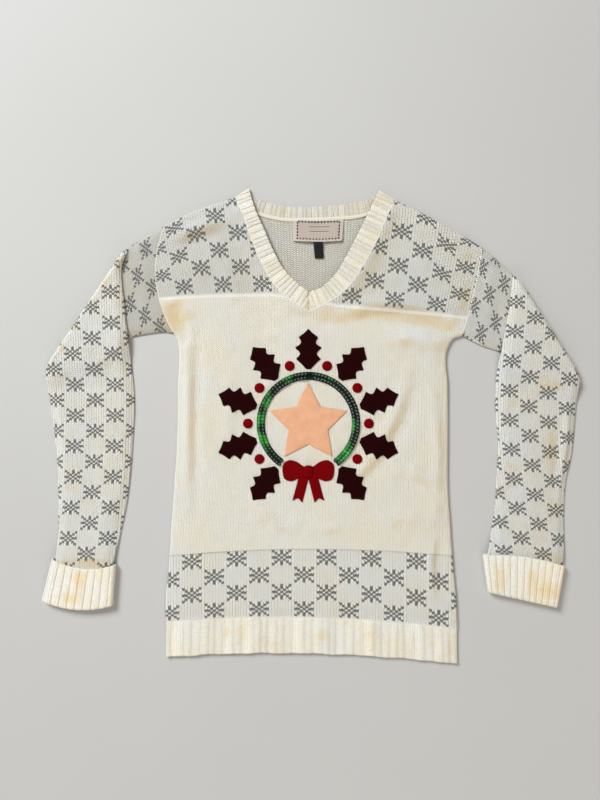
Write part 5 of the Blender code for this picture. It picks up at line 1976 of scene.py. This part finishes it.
def turned(points, degrees):
    """Points turned about the middle of the appliqué from its +X axis, then put in place."""
    turn = math.radians(degrees)
    spin = np.array([[math.cos(turn), math.sin(turn)], [-math.sin(turn), math.cos(turn)]])
    return np.array(points) @ spin + ART_CENTRE


def arc(radius, start, end, count):
    """Points on an arc about the middle of the appliqué, angles in degrees from +X."""
    return compass(np.linspace(start, end, count)) * radius + ART_CENTRE


def star_outline():
    """A five-pointed star with one point towards the neck."""
    radii = np.where(np.arange(10) % 2 == 0, STAR_POINT, STAR_NOTCH)
    return compass(90 + 36 * np.arange(10)) * radii[:, None] + ART_CENTRE


def ring_outline():
    """An open ring, with a gap at the bottom for the bow."""
    start, end = RING_SPAN
    return np.vstack([arc(RING_OUTER, start, end, 90), arc(RING_INNER, end, start, 90)])


def leaf_outline(angle):
    """A holly leaf that points away from the middle: hollow curves between its spikes."""
    half = []
    for spike in range(0, len(LEAF_EDGE) - 2, 2):
        bay = [(row.along * LEAF_LENGTH, row.half) for row in LEAF_EDGE[spike : spike + 3]]
        half += list(smooth(bay, 0.0016)[:-1])
    half = np.array(half + [(LEAF_LENGTH, 0.0)])
    local = np.vstack([half * (1, -1), half[-2::-1]]) + (LEAF_ROOT, 0.0)
    return turned(local, angle)


def bow_outline():
    """The felt bow: two round loops and two notched tails in one piece, on the ring's gap."""
    half = np.vstack([smooth(BOW_EDGE[:BOW_LOOP], 0.0015), BOW_EDGE[BOW_LOOP:]])
    mirrored = half[1:-1][::-1] * (-1, 1)
    return (np.vstack([half, mirrored]) + BOW_CENTRE)[::-1]


def knot_outline():
    """The knot: a rounded box across the middle of the bow."""
    swell = compass(np.arange(0, 360, 10))
    return np.sign(swell) * np.abs(swell) ** 0.55 * KNOT_HALF + BOW_CENTRE


def berry_outline(number):
    """A round berry between two leaves."""
    centre = compass(270 + LEAF_TURN * (number + 1.5)) * BERRY_PLACE + ART_CENTRE
    return centre + compass(np.arange(0, 360, 12)) * BERRY_RADIUS


def felt_piece(name, node, outline, material, step=0.002, base=0.0, puff=0.0003, veins=()):
    """A cut felt shape on the front: rounded edges, a slight swell, and grooves along its veins."""
    thickness = bpy.context.scene.sweater_felt.thickness
    rim = even(outline, step * 0.7, closed=True)
    flat, faces = cloth_sheet(rim, step, FELT_RIMS)
    x, y = flat.T
    gap = gap_to([ringed(rim)], x, y)
    low = front_top(x, y) + SEAM + base
    high = low + thickness * (0.35 + 0.65 * rounded(gap, FELT_ROUND)) + puff * ease((gap - 0.001) / 0.006)
    high -= pressed(EDGE_GROOVE, gap)
    for vein in veins:
        high -= pressed(VEIN_GROOVE, gap_to([vein], x, y))
    finish_piece(sheet_piece(name, flat, faces, low, high), [node], [material])


def inset_line(outline, inset):
    """An outline drawn in by inset, its points kept apart from the far side."""
    return drawn_in(anticlockwise(even(outline, 0.0008, closed=True)), inset, 0.9)


def leaf_veins(angle):
    """The middle vein of a leaf and a pair of side veins to each spike."""
    middle = [(LEAF_ROOT + 0.002, 0.0), (LEAF_ROOT + LEAF_LENGTH - 0.006, 0.0)]
    chains = [turned(middle, angle)]
    for row in LEAF_EDGE[2:7:2]:
        tip = row.along * LEAF_LENGTH + LEAF_ROOT
        for side in (-1, 1):
            chains.append(turned([(tip - 0.009, 0.0), (tip - 0.001, side * row.half * 0.78)], angle))
    return chains


def build_felt():
    """All the felt shapes, and the stitches that hold their edges."""
    felt = bpy.context.scene.sweater_felt
    brown = felt_finish("leaf_felt", felt.brown, scaled(felt.brown, 2.4), 0.5)
    peach = felt_finish("star_felt", felt.peach, (0.78, 0.44, 0.28), 1.2)
    red = felt_finish("bow_felt", felt.red, scaled(felt.red, 1.5), 0.6)
    ring_felt = felt_finish("ring_felt", (0.006, 0.018, 0.009), (0.012, 0.03, 0.016), 0.5)

    star, bow, leaves = star_outline(), bow_outline(), []
    valleys = [np.array([ART_CENTRE, point * 0.9 + np.array(ART_CENTRE) * 0.1]) for point in star[::2]]
    felt_piece("star_felt_piece", "star", star, peach, veins=valleys)
    felt_piece("ring_felt_piece", "sequin_ring", ring_outline(), ring_felt)
    for number in range(1, LEAF_COUNT + 1):
        angle = 270 + LEAF_TURN * number
        leaf = leaf_outline(angle)
        leaves.append(leaf)
        name = f"leaf_felt_{number}"
        felt_piece(name, f"leaf_{number}", leaf, brown, 0.0018, veins=leaf_veins(angle))
    for number in range(LEAF_COUNT - 1):
        name = f"berry_{number + 1}"
        felt_piece(f"{name}_felt", name, berry_outline(number), red, 0.0013, puff=0.0014)
    pleats = [
        np.array([(side * 0.007, lift), (side * 0.024, lift * 3.2)]) + BOW_CENTRE
        for side in (-1, 1)
        for lift in (-0.002, 0.002)
    ]
    felt_piece("bow_felt_piece", "bow", bow, red, veins=pleats)
    over_bow = felt.thickness + 2 * SEAM
    felt_piece("bow_knot_felt", "bow_knot", knot_outline(), red, 0.0013, over_bow, 0.0012)

    sewing = Sewing(felt.stitch, length=0.0019, width=0.0005, turn=0.0)
    sewn = {
        "brown": (leaves, scaled(felt.brown, 1.8)),
        "peach": ([star], scaled(felt.peach, 0.9)),
        "red": ([bow], scaled(felt.red, 0.85)),
    }
    for key, (outlines, colour) in sewn.items():
        lines = []
        for outline in outlines:
            line = inset_line(outline, FELT_STITCH_INSET)
            lines.append(with_z(line, front_top(*line.T) + SEAM + felt.thickness - 0.00012))
        thread = thread_finish(f"{key}_thread", colour)
        sew(f"{key}_edge_stitches", lines, thread, sewing, closed=True)


def build_sequins():
    """Strings of sequins side by side on the ring."""
    sequin = bpy.context.scene.sweater_sequin
    over_front = SEAM + bpy.context.scene.sweater_felt.thickness + 0.0007
    start, end = RING_SPAN
    lines = []
    for number in range(sequin.rows):
        radius = RING_INNER + (number + 0.5) * (RING_OUTER - RING_INNER) / sequin.rows
        stagger = 0.5 * math.degrees(sequin.spacing / radius) * (number % 2)
        line = arc(radius, start + 1 + stagger, end - 1, 160)
        lines.append(with_z(line, front_top(*line.T) + over_front))
    strings = line_object("sequin_strings", lines)
    sizes = {"Spacing": sequin.spacing, "Radius": sequin.radius, "Tilt": 0.14, "Wobble": 0.1}
    run_tree(strings, sequin_tree(), Seed=sequin.seed, Material=sequin_finish("green_foil"), **sizes)
    finish_piece(strings)


# --- Stage ---


def build_stage():
    """The floor, the camera straight above and soft light from the upper left."""
    stage = bpy.context.scene.sweater_stage
    scene = bpy.context.scene
    corners = np.array([(-1, -1), (1, -1), (1, 1), (-1, 1)]) * FLOOR_HALF
    floor = new_piece("floor", with_z(corners, -0.0001), [(0, 1, 2, 3)])
    finish = Finish("pale_floor")
    darker, lighter = scaled(stage.floor, 0.97), scaled(stage.floor, 1.03)
    finish.feed(base_color=finish.mix(finish.noise(3.0, 2.0), darker, lighter))
    finish.constants(roughness=0.9, specular_ior_level=0.1)
    floor.data.materials.append(finish.material)

    lens = bpy.data.cameras.new("camera")
    lens.sensor_fit = "HORIZONTAL"
    lens.angle = 2 * math.atan(stage.view_width / 2 / stage.camera_height)
    lens.clip_start = 0.05
    camera = bpy.data.objects.new("camera", lens)
    camera.location = (stage.aim_x, stage.aim_y, stage.camera_height)
    scene.collection.objects.link(camera)
    scene.camera = camera

    for lamp in LAMPS:
        data = bpy.data.lights.new(lamp.name, "AREA")
        data.shape = "DISK"
        data.size = lamp.width
        data.energy = stage.key * lamp.share
        data.color = lamp.colour
        light = bpy.data.objects.new(lamp.name, data)
        light.location = lamp.place
        light.rotation_euler = (-Vector(lamp.place)).to_track_quat("-Z", "Y").to_euler()
        scene.collection.objects.link(light)
    world = bpy.data.worlds.new("studio")
    world.use_nodes = True
    background = world.node_tree.nodes["Background"]
    background.inputs["Color"].default_value = SKYLIGHT
    background.inputs["Strength"].default_value = stage.fill
    scene.world = world
    scene.view_settings.view_transform = "Standard"


def declare_felt(outline):
    """Work out the area of a felt shape's outline; nothing is done with it."""
    area = float(abs(signed_area(outline)))


def declare_cloth():
    """Work out the area of each felt shape's outline; nothing is kept."""
    for number in range(1, LEAF_COUNT + 1):
        declare_felt(leaf_outline(0.0))
    for number in range(LEAF_COUNT - 1):
        declare_felt(berry_outline(number))
    declare_felt(star_outline())
    declare_felt(bow_outline())
    declare_felt(knot_outline())


# --- Operators and panel ---


class SWEATER_OT_stage(bpy.types.Operator):
    """Place the floor, the camera and the lights"""

    bl_idname = "sweater.stage"
    bl_label = "Set the Stage"

    def execute(self, context):
        build_stage()
        return {"FINISHED"}


class SWEATER_OT_front(bpy.types.Operator):
    """Make the front panel"""

    bl_idname = "sweater.front"
    bl_label = "Knit the Front"

    def execute(self, context):
        build_front()
        return {"FINISHED"}


class SWEATER_OT_back(bpy.types.Operator):
    """Make the back panel"""

    bl_idname = "sweater.back"
    bl_label = "Knit the Back"

    def execute(self, context):
        build_back()
        return {"FINISHED"}


class SWEATER_OT_sleeves(bpy.types.Operator):
    """Make both sleeves"""

    bl_idname = "sweater.sleeves"
    bl_label = "Knit the Sleeves"

    def execute(self, context):
        build_sleeves()
        return {"FINISHED"}


class SWEATER_OT_cuffs(bpy.types.Operator):
    """Make both turned-back cuffs"""

    bl_idname = "sweater.cuffs"
    bl_label = "Rib the Cuffs"

    def execute(self, context):
        build_cuffs()
        return {"FINISHED"}


class SWEATER_OT_hem(bpy.types.Operator):
    """Make the hem rib"""

    bl_idname = "sweater.hem"
    bl_label = "Rib the Hem"

    def execute(self, context):
        build_hem()
        return {"FINISHED"}


class SWEATER_OT_collar(bpy.types.Operator):
    """Make the mitred collar band"""

    bl_idname = "sweater.collar"
    bl_label = "Rib the Collar"

    def execute(self, context):
        build_collar()
        return {"FINISHED"}


class SWEATER_OT_chain(bpy.types.Operator):
    """Sew the chains of stitches along the joints"""

    bl_idname = "sweater.chain"
    bl_label = "Link the Pieces"

    def execute(self, context):
        build_chains()
        return {"FINISHED"}


class SWEATER_OT_tape(bpy.types.Operator):
    """Cover the seam inside the back neck"""

    bl_idname = "sweater.tape"
    bl_label = "Sew the Neck Tape"

    def execute(self, context):
        build_neck_tape()
        return {"FINISHED"}


class SWEATER_OT_label(bpy.types.Operator):
    """Make the label and the size tab"""

    bl_idname = "sweater.label"
    bl_label = "Sew the Label"

    def execute(self, context):
        build_label()
        return {"FINISHED"}


class SWEATER_OT_felt(bpy.types.Operator):
    """Make the felt shapes and their stitches"""

    bl_idname = "sweater.felt"
    bl_label = "Sew the Felt"

    def execute(self, context):
        build_felt()
        return {"FINISHED"}


class SWEATER_OT_sequins(bpy.types.Operator):
    """Make the strings of sequins"""

    bl_idname = "sweater.sequins"
    bl_label = "String the Sequins"

    def execute(self, context):
        build_sequins()
        return {"FINISHED"}


class SWEATER_OT_cloth(bpy.types.Operator):
    """Work out the area of each felt shape's outline"""

    bl_idname = "sweater.cloth"
    bl_label = "Declare the Cloth"

    def execute(self, context):
        declare_cloth()
        return {"FINISHED"}


OPERATORS = (
    SWEATER_OT_stage,
    SWEATER_OT_front,
    SWEATER_OT_back,
    SWEATER_OT_sleeves,
    SWEATER_OT_cuffs,
    SWEATER_OT_hem,
    SWEATER_OT_collar,
    SWEATER_OT_chain,
    SWEATER_OT_tape,
    SWEATER_OT_label,
    SWEATER_OT_felt,
    SWEATER_OT_sequins,
    SWEATER_OT_cloth,
)


class SWEATER_PT_panel(bpy.types.Panel):
    """Lists the sweater's settings and operators."""

    bl_idname = "SWEATER_PT_panel"
    bl_label = "Sweater"
    bl_space_type = "VIEW_3D"
    bl_region_type = "UI"
    bl_category = "Sweater"

    def draw(self, context):
        for made in OPERATORS:
            self.layout.operator(made.bl_idname)
        for key, group in SETTINGS.items():
            box = self.layout.box()
            for prop in group.__annotations__:
                box.prop(getattr(context.scene, key), prop)


def register():
    for group in SETTINGS.values():
        bpy.utils.register_class(group)
    for key, group in SETTINGS.items():
        setattr(bpy.types.Scene, key, PointerProperty(type=group))
    for made in OPERATORS:
        bpy.utils.register_class(made)
    bpy.utils.register_class(SWEATER_PT_panel)


def unregister():
    bpy.utils.unregister_class(SWEATER_PT_panel)
    for made in reversed(OPERATORS):
        bpy.utils.unregister_class(made)
    for key, group in SETTINGS.items():
        delattr(bpy.types.Scene, key)
        bpy.utils.unregister_class(group)


def main():
    register()
    for made in OPERATORS:
        getattr(bpy.ops.sweater, made.bl_idname.split(".")[1])()


if __name__ == "__main__":
    main()
